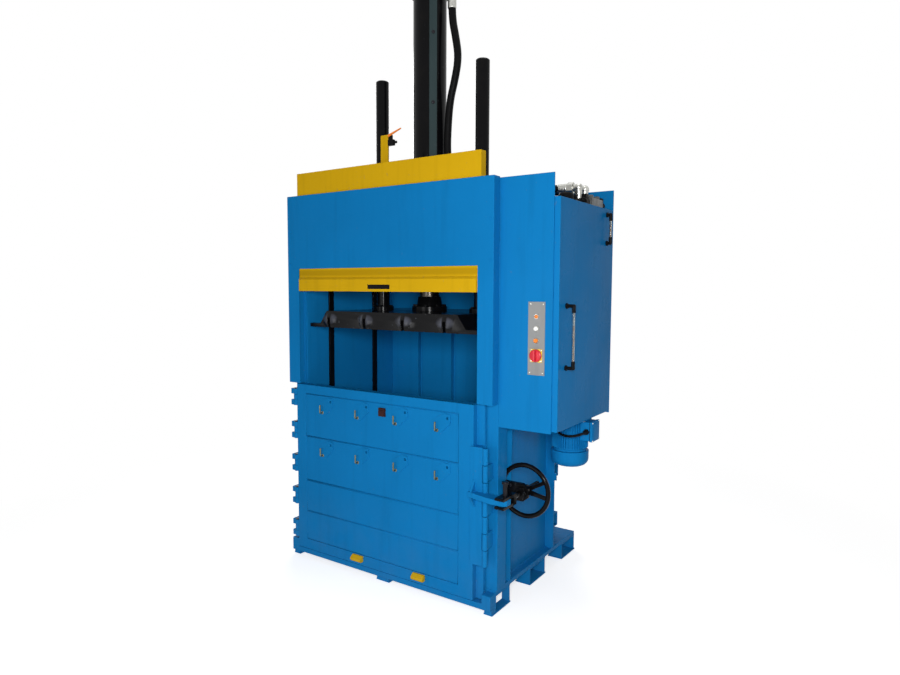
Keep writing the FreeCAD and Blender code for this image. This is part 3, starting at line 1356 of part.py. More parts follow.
# The motor's lead loops from a gland under the tank to its terminal box.
drop_x = motor_x - 23
drop_y = motor_y - d.motor_flange_radius - 34
box_gland_x = terminal_x0 + d.terminal_width / 2
box_gland_y = terminal_y0 - d.gland_length
box_gland_z = terminal_z0 + d.terminal_height / 2
node("cable_glands", group(
    hexagon("z", drop_x, drop_y, flange_z - d.gland_length, d.gland_across, d.gland_length),
    hexagon("y", box_gland_x, box_gland_y, box_gland_z, d.gland_across, d.gland_length)))
lead_start = V(drop_x.value, drop_y.value, (flange_z - d.gland_length).value)
lead_end = V(box_gland_x.value, box_gland_y.value, box_gland_z.value)
made("motor_cable", flexible([
    lead_start, lead_start + V(0, 0, -27), lead_start + V(22, -7, -50),
    lead_start + V(62, -20, -60), lead_start + V(108, -26, -56),
    lead_end + V(-18, -84, -4), lead_end + V(0, -44, 0), lead_end],
    d.cable_radius.value))

# ------------------------------------------------------------ checks and files
doc.recompute()
faults = [obj.Name for obj in doc.Objects
          if "Invalid" in obj.State or "Error" in obj.State]
if faults:
    raise RuntimeError("failed objects: %s" % ", ".join(faults))
labels = [label for label, obj in NODES]
if len(set(labels)) != len(labels):
    raise RuntimeError("two pieces share a name")
for label, obj in NODES:
    if obj.Shape.isNull() or not obj.Shape.isValid() or not obj.Shape.Solids:
        raise RuntimeError("bad shape: %s" % label)

os.makedirs("parts", exist_ok=True)
for label, obj in NODES:
    obj.Shape.exportStep(os.path.join("parts", label + ".step"))
print("%d pieces, %d solids" % (len(NODES), sum(len(o.Shape.Solids) for _, o in NODES)))
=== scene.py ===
"""Finished surfaces and fittings of a vertical recycling baler.

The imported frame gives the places. Metres, +X right seen from the front,
-Y to the front, +Z up, and the origin on the floor under the middle foot.
A piece whose name ends in .finished stands for the CAD node of that name, and
interlock.finished stands for interlock_block.
"""

import math
import bmesh
import bpy
from bpy.props import FloatProperty, FloatVectorProperty, IntProperty, PointerProperty
from mathutils import Matrix, Vector


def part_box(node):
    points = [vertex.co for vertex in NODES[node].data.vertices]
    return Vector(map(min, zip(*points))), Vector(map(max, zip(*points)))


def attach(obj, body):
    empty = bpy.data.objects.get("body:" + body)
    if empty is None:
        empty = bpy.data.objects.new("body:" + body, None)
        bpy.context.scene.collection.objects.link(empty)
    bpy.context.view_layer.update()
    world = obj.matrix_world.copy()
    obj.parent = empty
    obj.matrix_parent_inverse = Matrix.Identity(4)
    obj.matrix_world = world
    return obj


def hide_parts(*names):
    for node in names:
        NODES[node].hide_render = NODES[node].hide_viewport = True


bl_info = {
    "name": "Recycling baler",
    "version": (1, 0, 0),
    "blender": (4, 5, 0),
    "location": "3D View > Sidebar > Baler",
    "description": "Builds the finished surfaces and fittings of a recycling baler",
    "category": "Object",
}

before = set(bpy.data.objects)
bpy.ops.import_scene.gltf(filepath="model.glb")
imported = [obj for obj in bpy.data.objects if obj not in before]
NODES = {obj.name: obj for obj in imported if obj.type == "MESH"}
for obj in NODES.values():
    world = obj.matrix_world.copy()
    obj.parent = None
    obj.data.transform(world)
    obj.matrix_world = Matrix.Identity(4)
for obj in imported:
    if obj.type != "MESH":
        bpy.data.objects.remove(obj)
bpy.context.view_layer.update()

# Places on the machine that no single node's box gives.
PRESS_Y = -0.073                            # axis of the cylinder and guide columns
COLUMN_X = 0.380                            # guide columns, left and right
STRAP_X = (-0.458, -0.170, 0.118, 0.406)    # bale straps, left to right
STRAP_PITCH = 0.288
HINGES = 5
HINGE_PITCH = 0.214
LOCK_AXIS = (0.85, -0.385, 0.66)            # draw spindle and handwheel
CONTROL_X = 0.965                           # middle line of the controls

# Mesh work.
MERGE_DISTANCE = 2e-6
FLAT_ANGLE = 0.5                            # degrees between faces that count as one
PLATE_CREASE = 28.0                         # degrees, on merged CAD nodes
CREASE = 32.0                               # degrees, on pieces made here
EASED_FROM = 30.0                           # degrees; flatter edges aren't rounded
HEX_CORNER = 0.57735                        # corner radius per width over the flats


def screen(red, green, blue):
    """Linear colour of three screen values from 0 to 255."""
    values = [value / 255 for value in (red, green, blue)]
    return tuple(v / 12.92 if v < 0.04045 else ((v + 0.055) / 1.055) ** 2.4 for v in values)


# ------------------------------------------------------------------ settings
def length(name, default, description):
    """A length property in metres."""
    return FloatProperty(name=name, description=description, default=default,
                         min=0.0001, unit="LENGTH")


def colour(name, default, description):
    """A colour property."""
    return FloatVectorProperty(name=name, description=description, default=default,
                               size=3, min=0, max=1, subtype="COLOR")


class BalerSizes(bpy.types.PropertyGroup):
    weld: length("Weld bead", 0.0042, "Half width of a weld bead")
    bolt: length("Bolt head", 0.019, "Width across the flats of the frame's bolts")
    screw: length("Panel screw", 0.009, "Head diameter of the control panel's screws")
    hose: length("Hose", 0.046, "Outside diameter of the hydraulic hoses")
    lead: length("Motor lead", 0.014, "Outside diameter of the motor's lead")
    fin: length("Motor fin", 0.0026, "Thickness of a motor cooling fin")
    fins: IntProperty(name="Motor fins", description="How many fins the motor has",
                      default=44, min=8, max=80)
    rib_pitch: length("Rib pitch", 0.33, "Height between the ribs on the rear wall")
    ribs: IntProperty(name="Rear ribs", description="How many ribs the rear wall has",
                      default=5, min=1, max=6)


class BalerColours(bpy.types.PropertyGroup):
    blue: colour("Blue enamel", screen(16, 117, 180), "Frame, door, tank and motor")
    yellow: colour("Yellow enamel", screen(206, 163, 20), "Gate, wedges and switch stand")
    black: colour("Black enamel", screen(11, 11, 13), "Cylinder, platen, rails and lock")
    panel: colour("Panel grey", screen(142, 143, 143), "Control plate")
    orange: colour("Orange", screen(238, 128, 26), "Start button and pilot lamp")
    red: colour("Red", screen(205, 28, 48), "Main switch")
    floor: colour("Floor", screen(236, 236, 236), "Studio floor")


# ----------------------------------------------------------------- materials
DUST = screen(126, 132, 134)
PRIMER = screen(96, 104, 110)
STAIN = screen(58, 50, 40)
GRIME = screen(62, 56, 48)
# Painted highlight grey, laid on the platen's front beside its strap slots.
HIGHLIGHT_GREY = screen(84, 87, 99)

# A low index of refraction keeps a finish from mirroring the white room too strongly.
ENAMEL_IOR = 1.09
BLACK_IOR = 1.17
DULL_IOR = 1.22
PLATEN_IOR = 1.24


class Wiring:
    """A shader tree that is put together step by step."""

    def __init__(self, tree):
        self.tree = tree

    def node(self, kind, **settings):
        made = self.tree.nodes.new(kind)
        for key, value in settings.items():
            setattr(made, key, value)
        return made

    def join(self, source, target):
        self.tree.links.new(source, target)

    def spread(self, value, low, high, to_low=0.0, to_high=1.0):
        """A value's part between two limits, moved to a new range."""
        made = self.node("ShaderNodeMapRange")
        for key, number in (("From Min", low), ("From Max", high),
                            ("To Min", to_low), ("To Max", to_high)):
            made.inputs[key].default_value = number
        self.join(value, made.inputs["Value"])
        return made.outputs["Result"]

    def maths(self, kind, first, second):
        made = self.node("ShaderNodeMath", operation=kind)
        self.join(first, made.inputs[0])
        if isinstance(second, (int, float)):
            made.inputs[1].default_value = second
        else:
            self.join(second, made.inputs[1])
        return made.outputs[0]

    def seen(self):
        """1 for what the camera, reflections and glass see, and 0 for light on things."""
        rays = self.node("ShaderNodeLightPath").outputs
        return self.maths("MAXIMUM", rays["Is Camera Ray"],
                          self.maths("MAXIMUM", rays["Is Glossy Ray"],
                                     rays["Is Transmission Ray"]))


class Finish(Wiring):
    """A procedural material on a piece's own coordinates."""

    def __init__(self, name, colour, roughness, metallic=0.0, specular=0.5):
        self.material = bpy.data.materials.new("finish_" + name)
        self.material.use_nodes = True
        super().__init__(self.material.node_tree)
        self.shader = self.tree.nodes["Principled BSDF"]
        self.shader.inputs["Metallic"].default_value = metallic
        self.shader.inputs["Specular IOR Level"].default_value = specular
        self.shader.inputs["Roughness"].default_value = roughness
        self.colour = (*colour, 1.0)
        self.shader.inputs["Base Color"].default_value = self.colour
        self.shade = None
        self.normal = None
        self.place = self.node("ShaderNodeTexCoord").outputs["Object"]
        self.material.diffuse_color = self.colour

    def stretched(self, scale):
        """The piece's own coordinates, scaled along each axis."""
        mapping = self.node("ShaderNodeMapping")
        mapping.inputs["Scale"].default_value = scale
        self.join(self.place, mapping.inputs["Vector"])
        return mapping.outputs["Vector"]

    def noise(self, scale, detail=2.0, stretch=None):
        """Cloudy noise from 0 to 1."""
        made = self.node("ShaderNodeTexNoise")
        made.inputs["Scale"].default_value = scale
        made.inputs["Detail"].default_value = detail
        self.join(self.stretched(stretch) if stretch else self.place,
                  made.inputs["Vector"])
        return made.outputs["Fac"]

    def clouds(self, scale, detail, low, high, to_low=0.0, to_high=1.0):
        """Noise between two limits, moved to a new range."""
        return self.spread(self.noise(scale, detail), low, high, to_low, to_high)

    def height(self):
        """Height above the floor."""
        made = self.node("ShaderNodeSeparateXYZ")
        self.join(self.place, made.inputs[0])
        return made.outputs["Z"]

    def slot_painted_highlights(self, box, first, pitch):
        """Painted highlight: light oval patches on a box's front beside equal slots, where
        the domes beside the slots catch the light, from 0 to 1.
        """
        low, high = box
        half_width, half_height, above_middle = 0.062, 0.034, 0.004
        made = self.node("ShaderNodeSeparateXYZ")
        self.join(self.place, made.inputs[0])
        aside = self.maths("PINGPONG", self.maths("SUBTRACT", made.outputs["X"], first),
                           pitch / 2)
        wide = self.maths("POWER", self.maths("DIVIDE", aside, half_width), 2.0)
        rise = self.maths("SUBTRACT", made.outputs["Z"],
                          (low.z + high.z) / 2 + above_middle)
        tall = self.maths("POWER", self.maths("DIVIDE", rise, half_height), 2.0)
        patch = self.spread(self.maths("ADD", wide, tall), 0.05, 1.10, 0.85, 0.0)
        slit = self.spread(aside, 0.012, 0.018)
        front = self.spread(made.outputs["Y"], low.y + 0.07, low.y + 0.09, 1.0, 0.0)
        cloud = self.clouds(22.0, 3.0, 0.3, 0.6, 0.35, 1.0)
        return self.maths("MULTIPLY", self.maths("MULTIPLY", patch, slit),
                          self.maths("MULTIPLY", front, cloud))

    def lay(self, factor, colour):
        """Lay a colour over the finish where the factor says."""
        mix = self.node("ShaderNodeMix", data_type="RGBA")
        self.join(factor, mix.inputs[0])
        if self.shade is None:
            mix.inputs[6].default_value = self.colour
        else:
            self.join(self.shade, mix.inputs[6])
        mix.inputs[7].default_value = (*colour[:3], 1.0)
        self.shade = mix.outputs[2]
        self.join(self.shade, self.shader.inputs["Base Color"])

    def tint(self, factor, amount):
        """Lay a lighter (above 1) or darker tone of the finish's own colour."""
        self.lay(factor, tuple(min(1.0, c * amount) for c in self.colour[:3]))

    def rough(self, value, low, high):
        """Let the roughness follow a value from 0.3 to 0.7."""
        self.join(self.spread(value, 0.3, 0.7, low, high), self.shader.inputs["Roughness"])

    def raise_by(self, value, distance, strength=1.0):
        """Raise the surface where the value is high."""
        made = self.node("ShaderNodeBump")
        made.inputs["Distance"].default_value = distance
        made.inputs["Strength"].default_value = strength
        self.join(value, made.inputs["Height"])
        if self.normal is not None:
            self.join(self.normal, made.inputs["Normal"])
        self.normal = made.outputs["Normal"]
        self.join(self.normal, self.shader.inputs["Normal"])


def enamel(name, paint, roughness, specular, dust, chips, ior=ENAMEL_IOR):
    """Sprayed enamel on welded plate: waves, orange peel, dust and chips."""
    made = Finish(name, paint, roughness, specular=specular)
    made.shader.inputs["IOR"].default_value = ior
    made.tint(made.clouds(1.7, 3.0, 0.35, 0.75, 0.0, 0.8), 0.86)
    made.tint(made.clouds(0.8, 1.0, 0.45, 0.8, 0.0, 0.7), 1.14)
    streak = made.noise(3.0, 4.0, (9.0, 9.0, 0.55))
    made.tint(made.spread(streak, 0.52, 0.74, 0.0, 0.45), 0.80)
    if dust:
        low = made.spread(made.height(), 0.0, 0.5, 1.0, 0.0)
        fog = made.maths("MULTIPLY", low, made.clouds(7.0, 4.0, 0.35, 0.7))
        made.lay(made.maths("MULTIPLY", fog, dust), DUST)
    if chips:
        made.lay(made.clouds(46.0, 3.0, 0.70, 0.72, 0.0, chips), PRIMER)
    made.rough(made.noise(5.0, 3.0), roughness - 0.06, roughness + 0.10)
    made.raise_by(made.noise(2.6, 1.0), 0.0040, 0.35)
    made.raise_by(made.noise(330.0, 1.0), 0.00010)
    return made


def plated(name, tone, roughness, stain, stretch=None):
    """Plated or machined metal with a fine grain and a little stain."""
    made = Finish(name, tone, roughness, metallic=1.0)
    made.tint(made.clouds(24.0, 3.0, 0.3, 0.7), 0.78)
    made.lay(made.clouds(60.0, 4.0, 0.58, 0.72, 0.0, stain), STAIN)
    made.rough(made.noise(34.0, 3.0), roughness - 0.08, roughness + 0.14)
    made.raise_by(made.noise(260.0 if stretch else 900.0, 2.0, stretch), 0.00006)


def moulded(name, tone, roughness, grain, specular=0.5, clear=0.0):
    """Moulded plastic, rubber or glass with a fine grain and light handling marks."""
    made = Finish(name, tone, roughness, specular=specular)
    made.shader.inputs["Transmission Weight"].default_value = clear
    if specular < 0.5:
        made.shader.inputs["IOR"].default_value = DULL_IOR
    made.tint(made.clouds(30.0, 2.0, 0.35, 0.75), 0.82)
    made.tint(made.clouds(90.0, 3.0, 0.6, 0.75, 0.0, 0.6), 1.25)
    made.rough(made.noise(50.0, 3.0), roughness - 0.06, roughness + 0.10)
    made.raise_by(made.noise(1100.0, 1.0), grain)


def finish(name):
    """A mixed finish by its name."""
    return bpy.data.materials["finish_" + name]


# -------------------------------------------------------------- mesh helpers
TURN = {
    "z": Matrix.Identity(3),
    "x": Matrix(((0, 0, 1), (0, 1, 0), (-1, 0, 0))),
    "-z": Matrix(((1, 0, 0), (0, -1, 0), (0, 0, -1))),
    "y": Matrix(((1, 0, 0), (0, 0, 1), (0, -1, 0))),
    "-y": Matrix(((1, 0, 0), (0, 0, -1), (0, 1, 0))),
}


def put(name, data):
    """An object of its own in the scene."""
    made = bpy.data.objects.new(name, data)
    bpy.context.scene.collection.objects.link(made)
    return made


def middle(node):
    """The middle of a node's box, as x, y and z."""
    return tuple((low + high) / 2 for low, high in zip(*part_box(node)))


def place_piece(name, mesh, body, paint, stands_for=()):
    """Put a finished mesh into the scene on its body."""
    mesh.name = name
    mesh.materials.clear()
    mesh.materials.append(finish(paint))
    piece = put(name, mesh)
    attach(piece, body)
    if stands_for:
        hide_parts(*stands_for)
    return piece


def shade(form, angle=CREASE):
    """Smooth faces with sharp creases."""
    for face in form.faces:
        face.smooth = True
    for edge in form.edges:
        sharp = len(edge.link_faces) != 2
        if not sharp:
            sharp = edge.calc_face_angle(0.0) > math.radians(angle)
        edge.smooth = not sharp


def merged(node):
    """A copy of a CAD node with its loose triangles merged."""
    form = bmesh.new()
    form.from_mesh(NODES[node].data)
    bmesh.ops.remove_doubles(form, verts=form.verts, dist=MERGE_DISTANCE)
    return form


def flatten(form):
    """Turn the triangles of each flat face into one face."""
    bmesh.ops.dissolve_limit(form, angle_limit=math.radians(FLAT_ANGLE), verts=form.verts,
                             edges=form.edges)


def closed_mesh(form, name):
    """Turn a form into a mesh and let the form go."""
    mesh = bpy.data.meshes.new(name)
    form.to_mesh(mesh)
    form.free()
    return mesh


def round_spots(radius, count):
    """Equal points on a circle, as (x, y)."""
    return [(radius * math.cos(2 * math.pi * i / count),
             radius * math.sin(2 * math.pi * i / count)) for i in range(count)]


class Form:
    """A mesh that is put together from solids."""

    def __init__(self):
        self.form = bmesh.new()

    def _moved(self, verts, axis, centre):
        """Turn +Z to an axis, given by its name or a rotation, and move to a centre."""
        turn = axis if isinstance(axis, Matrix) else TURN[axis]
        for vert in verts:
            vert.co = turn @ vert.co + Vector(centre)

    def _ease(self, faces, width):
        """Round the edges of the faces."""
        if not width:
            return
        edges = dict.fromkeys(edge for face in faces for edge in face.edges
                              if len(edge.link_faces) == 2
                              and edge.calc_face_angle(0.0) > math.radians(EASED_FROM))
        bmesh.ops.bevel(self.form, geom=list(edges), offset=width, segments=2,
                        profile=0.7, affect="EDGES", clamp_overlap=True)

    def turned(self, profile, centre, axis="z", steps=64, ease=0.0, closed=False):
        """A solid turned from (radius, height) points about its axis."""
        rings = []
        for radius, rise in profile:
            if radius <= 0:
                rings.append([self.form.verts.new((0, 0, rise))])
            else:
                rings.append([self.form.verts.new((*spot, rise))
                              for spot in round_spots(radius, steps)])
        faces = []
        pairs = list(zip(rings, rings[1:]))
        if closed:
            pairs.append((rings[-1], rings[0]))
        for low, high in pairs:
            for i in range(steps):
                j = (i + 1) % steps
                corners = dict.fromkeys((low[i % len(low)], low[j % len(low)],
                                         high[j % len(high)], high[i % len(high)]))
                if len(corners) > 2:
                    faces.append(self.form.faces.new(list(corners)))
        self._moved([vert for ring in rings for vert in ring], axis, centre)
        bmesh.ops.recalc_face_normals(self.form, faces=faces)
        self._ease(faces, ease)
        return self

    def prism(self, outline, rise, centre, axis="z", ease=0.0):
        """A flat outline of (x, y) points raised along its axis."""
        low = [self.form.verts.new((x, y, 0)) for x, y in outline]
        high = [self.form.verts.new((x, y, rise)) for x, y in outline]
        count = len(outline)
        faces = [self.form.faces.new(low), self.form.faces.new(high)]
        for i in range(count):
            j = (i + 1) % count
            faces.append(self.form.faces.new((low[i], low[j], high[j], high[i])))
        self._moved(low + high, axis, centre)
        bmesh.ops.recalc_face_normals(self.form, faces=faces)
        self._ease(faces, ease)
        return self

    def block(self, low, high, ease=0.001):
        """A block between two corners."""
        wide, deep = high[0] - low[0], high[1] - low[1]
        outline = [(0, 0), (wide, 0), (wide, deep), (0, deep)]
        return self.prism(outline, high[2] - low[2], low, "z", ease)

    def hexagon(self, across, rise, centre, axis="z", ease=0.001):
        """A nut or plug; across is its width over the flats."""
        return self.prism(round_spots(across * HEX_CORNER, 6), rise, centre, axis, ease)

    def bent_bar(self, points, radius, steps=8):
        """A round bar along a smooth line through control points."""
        line = curve_line("bar", points, radius, steps)
        bar = put("bar", line)
        mesh = bpy.data.meshes.new_from_object(
            bar.evaluated_get(bpy.context.evaluated_depsgraph_get()))
        bpy.data.objects.remove(bar)
        bpy.data.curves.remove(line)
        self.form.from_mesh(mesh)
        bpy.data.meshes.remove(mesh)
        return self

    def ring(self, radius, thick, centre, axis="z", steps=96, around=20):
        """A round bar bent into a ring."""
        profile = [(radius + out, rise) for out, rise in round_spots(thick, around)]
        return self.turned(profile, centre, axis, steps, closed=True)

    def done(self, name, body, slot, paint, stands_for=()):
        """Close the mesh and put it on its body."""
        shade(self.form)
        return place_piece(name, closed_mesh(self.form, name), body, paint,
                           stands_for)

    def finished(self, node, body, slot, paint):
        """Close the mesh, which stands for a CAD node."""
        return self.done(node + ".finished", body, slot, paint, (node,))


def curve_line(name, points, radius, around=8, resolution=24):
    """A NURBS line through its control points, with a round section."""
    line = bpy.data.curves.new(name, "CURVE")
    line.dimensions = "3D"
    spline = line.splines.new("NURBS")
    spline.points.add(len(points) - 1)
    for spot, point in zip(spline.points, points):
        spot.co = (*point, 1.0)
    spline.order_u = 3
    spline.use_endpoint_u = True
    spline.resolution_u = resolution
    line.bevel_depth = radius
    line.bevel_resolution = around // 2
    line.use_fill_caps = True
    return line


def refined(node, body, paint, width):
    """A merged copy of a CAD node with rounded edges, which stands for it."""
    form = merged(node)
    flatten(form)
    shade(form, PLATE_CREASE)
    if width:
        weight = form.edges.layers.float.new("bevel_weight_edge")
        for edge in form.edges:
            if not edge.smooth and len(edge.link_faces) == 2:
                if edge.calc_length() > 4 * width:
                    edge[weight] = 1.0
    mesh = closed_mesh(form, node)
    for spare in ("custom_normal", "UVMap"):
        if spare in mesh.attributes:
            mesh.attributes.remove(mesh.attributes[spare])
    piece = place_piece(node + ".finished", mesh, body, paint, (node,))
    if width:
        bevel = piece.modifiers.new("Rounded edges", "BEVEL")
        bevel.limit_method = "WEIGHT"
        bevel.width = width
        bevel.segments = 2
        bevel.use_clamp_overlap = False
        bevel.harden_normals = True


def refined_all(body, paint, **widths):
    """Refine nodes of one body that all take one finish."""
    for node, width in widths.items():
        refined(node, body, paint, width)


# ------------------------------------------------------------ geometry nodes
class Recipe:
    """A Geometry Nodes tree with named inputs."""

    def __init__(self, name, **sizes):
        self.tree = bpy.data.node_groups.new(name, "GeometryNodeTree")
        face = self.tree.interface
        face.new_socket(name="Geometry", in_out="INPUT", socket_type="NodeSocketGeometry")
        self.inputs = {}
        for label, value in sizes.items():
            kind = "NodeSocketInt" if isinstance(value, int) else "NodeSocketFloat"
            socket = face.new_socket(name=label, in_out="INPUT", socket_type=kind)
            socket.default_value = value
            self.inputs[label] = socket.identifier
        paint = face.new_socket(name="paint", in_out="INPUT",
                                socket_type="NodeSocketMaterial")
        self.inputs["paint"] = paint.identifier
        face.new_socket(name="Geometry", in_out="OUTPUT", socket_type="NodeSocketGeometry")
        self.source = self.tree.nodes.new("NodeGroupInput").outputs
        self.sink = self.tree.nodes.new("NodeGroupOutput").inputs

    def step(self, kind, feeds=(), **settings):
        """Add a node; feeds pairs an input with a socket or a plain value."""
        made = self.tree.nodes.new(kind)
        for key, value in settings.items():
            setattr(made, key, value)
        for key, value in dict(feeds).items():
            if isinstance(value, bpy.types.NodeSocket):
                self.tree.links.new(value, made.inputs[key])
            else:
                made.inputs[key].default_value = value
        return made.outputs

    def maths(self, kind, first, second):
        return self.step("ShaderNodeMath", {0: first, 1: second}, operation=kind)[0]

    def times(self, first, second):
        return self.maths("MULTIPLY", first, second)

    def cone(self, sides, top, bottom, depth, **settings):
        """A straight or tapered post on its foot."""
        return self.step("GeometryNodeMeshCone", {
            "Vertices": sides, "Radius Top": top, "Radius Bottom": bottom,
            "Depth": depth}, **settings)[0]

    def vector(self, x=0.0, y=0.0, z=0.0):
        return self.step("ShaderNodeCombineXYZ", {0: x, 1: y, 2: z})[0]

    def joined(self, *parts):
        made = self.tree.nodes.new("GeometryNodeJoinGeometry")
        for part in parts:
            self.tree.links.new(part, made.inputs[0])
        return made.outputs[0]

    def close(self, geometry):
        """End the tree in real, painted geometry."""
        real = self.step("GeometryNodeRealizeInstances", {0: geometry})[0]
        painted = self.step("GeometryNodeSetMaterial",
                            {"Geometry": real, "Material": self.source["paint"]})[0]
        self.tree.links.new(painted, self.sink[0])
        return self

    def grow(self, name, mesh, body, slot, paint, stands_for=(), **values):
        """Run the tree on a mesh and keep its result as a plain mesh."""
        seed = put(name + "_seed", mesh)
        modifier = seed.modifiers.new("Recipe", "NODES")
        modifier.node_group = self.tree
        for label, value in values.items():
            modifier[self.inputs[label]] = value
        modifier[self.inputs["paint"]] = finish(paint)
        graph = bpy.context.evaluated_depsgraph_get()
        made = bpy.data.meshes.new_from_object(seed.evaluated_get(graph))
        seed.modifiers.clear()
        bpy.data.objects.remove(seed)
        if not made.polygons:
            raise RuntimeError(name + " came out empty")
        form = bmesh.new()
        form.from_mesh(made)
        shade(form)
        form.to_mesh(made)
        form.free()
        return place_piece(name, made, body, paint, stands_for)


def spots_mesh(name, spots):
    """Loose points with the direction that each one faces, as attribute aim."""
    mesh = bpy.data.meshes.new(name)
    mesh.from_pydata([place for place, aim in spots], [], [])
    aims = mesh.attributes.new("aim", "FLOAT_VECTOR", "POINT")
    for i, (place, aim) in enumerate(spots):
        aims.data[i].vector = aim
    return mesh


def paths_mesh(name, paths):
    """Runs of edges, each through its own points."""
    places, edges = [], []
    for path in paths:
        first = len(places)
        places += path
        edges += [(first + i, first + i + 1) for i in range(len(path) - 1)]
    mesh = bpy.data.meshes.new(name)
    mesh.from_pydata(places, edges, [])
    return mesh


def on_spots(recipe, head):
    """Stand a head on each point, along its aim."""
    points = recipe.step("GeometryNodeMeshToPoints", {0: recipe.source["Geometry"]})[0]
    aim = recipe.step("GeometryNodeInputNamedAttribute", {"Name": "aim"},
                      data_type="FLOAT_VECTOR")[0]
    turn = recipe.step("FunctionNodeAlignRotationToVector", {"Vector": aim}, axis="Z")[0]
    return recipe.step("GeometryNodeInstanceOnPoints", {
        "Points": points, "Instance": head, "Rotation": turn})[0]


def on_seat(recipe, geometry):
    """Move geometry to the one point that the tree runs on."""
    seat = recipe.step("GeometryNodeBoundBox", {0: recipe.source["Geometry"]})[1]
    return recipe.step("GeometryNodeTransform", {0: geometry, "Translation": seat})[0]


def lifted(recipe, geometry, rise):
    """Move geometry up along Z."""
    return recipe.step("GeometryNodeTransform", {
        0: geometry, "Translation": recipe.vector(z=rise)})[0]


def hex_bolt_recipe():
    """Hexagonal bolt heads on washers."""
    recipe = Recipe("Hex bolts", across=0.019, rise=0.008)
    across, rise = recipe.source["across"], recipe.source["rise"]
    reach = recipe.times(across, HEX_CORNER)
    washer = recipe.cone(20, recipe.times(across, 0.80), recipe.times(across, 0.84),
                         recipe.times(rise, 0.22))
    shank = recipe.cone(6, reach, reach, recipe.times(rise, 0.66))
    crown = recipe.cone(6, recipe.times(reach, 0.78), reach, recipe.times(rise, 0.12))
    head = recipe.joined(washer, lifted(recipe, shank, recipe.times(rise, 0.22)),
                         lifted(recipe, crown, recipe.times(rise, 0.88)))
    return recipe.close(on_spots(recipe, head))


def dome_screw_recipe():
    """Low domed screw heads with a socket."""
    recipe = Recipe("Dome screws", across=0.009, rise=0.003)
    radius, rise = recipe.times(recipe.source["across"], 0.5), recipe.source["rise"]
    shoulder, mouth = recipe.times(radius, 0.86), recipe.times(radius, 0.42)
    base = recipe.cone(20, shoulder, radius, recipe.times(rise, 0.6), fill_type="NONE")
    crown = recipe.cone(20, mouth, shoulder, recipe.times(rise, 0.4), fill_type="NONE")
    socket = recipe.cone(20, mouth, recipe.times(radius, 0.05), recipe.times(rise, 0.5),
                         fill_type="NONE")
    inside = recipe.step("GeometryNodeFlipFaces", {0: socket})[0]
    head = recipe.joined(base, lifted(recipe, crown, recipe.times(rise, 0.6)),
                         lifted(recipe, inside, recipe.times(rise, 0.5)))
    return recipe.close(on_spots(recipe, head))


def weld_recipe():
    """Rippled weld beads along edges."""
    recipe = Recipe("Weld beads", half_width=0.004, pitch=0.005)
    line = recipe.step("GeometryNodeMeshToCurve", {0: recipe.source["Geometry"]})[0]
    line = recipe.step("GeometryNodeResampleCurve", {
        "Curve": line, "Length": recipe.source["pitch"]}, mode="LENGTH")[0]
    index = recipe.step("GeometryNodeInputIndex")[0]
    ripple = recipe.maths("MODULO", index, 2.0)
    cloud = recipe.step("ShaderNodeTexNoise", {"Scale": 60.0, "Detail": 1.0})[0]
    swell = recipe.maths("ADD", recipe.times(ripple, 0.22), recipe.times(cloud, 0.7))
    radius = recipe.times(recipe.source["half_width"], recipe.maths("ADD", swell, 0.5))
    ring = recipe.step("GeometryNodeCurvePrimitiveCircle", {
        "Resolution": 6, "Radius": 1.0})[0]
    bead = recipe.step("GeometryNodeCurveToMesh", {
        "Curve": line, "Profile Curve": ring, "Scale": radius, "Fill Caps": True})[0]
    return recipe.close(bead)


def fin_recipe():
    """Cooling fins that stand round a motor's body."""
    recipe = Recipe("Cooling fins", count=44, inside=0.086, outside=0.102,
                    thickness=0.0026, height=0.17)
    source = recipe.source
    radius = recipe.times(recipe.maths("ADD", source["inside"], source["outside"]), 0.5)
    circle = recipe.step("GeometryNodeMeshCircle", {
        "Vertices": source["count"], "Radius": radius})[0]
    reach = recipe.maths("SUBTRACT", source["outside"], source["inside"])
    blade = recipe.step("GeometryNodeMeshCube", {
        "Size": recipe.vector(reach, source["thickness"], source["height"])})[0]
    slim = recipe.step("GeometryNodeMeshCube", {"Size": recipe.vector(
        0.0016, recipe.times(source["thickness"], 0.55),
        recipe.maths("SUBTRACT", source["height"], 0.002))})[0]
    tip = recipe.step("GeometryNodeTransform", {
        0: slim, "Translation": recipe.vector(recipe.times(reach, 0.5))})[0]
    place = recipe.step("GeometryNodeInputPosition")[0]
    turn = recipe.step("FunctionNodeAlignRotationToVector", {"Vector": place}, axis="X")[0]
    ring = recipe.step("GeometryNodeInstanceOnPoints", {
        "Points": circle, "Instance": recipe.joined(blade, tip), "Rotation": turn})[0]
    return recipe.close(on_seat(recipe, ring))


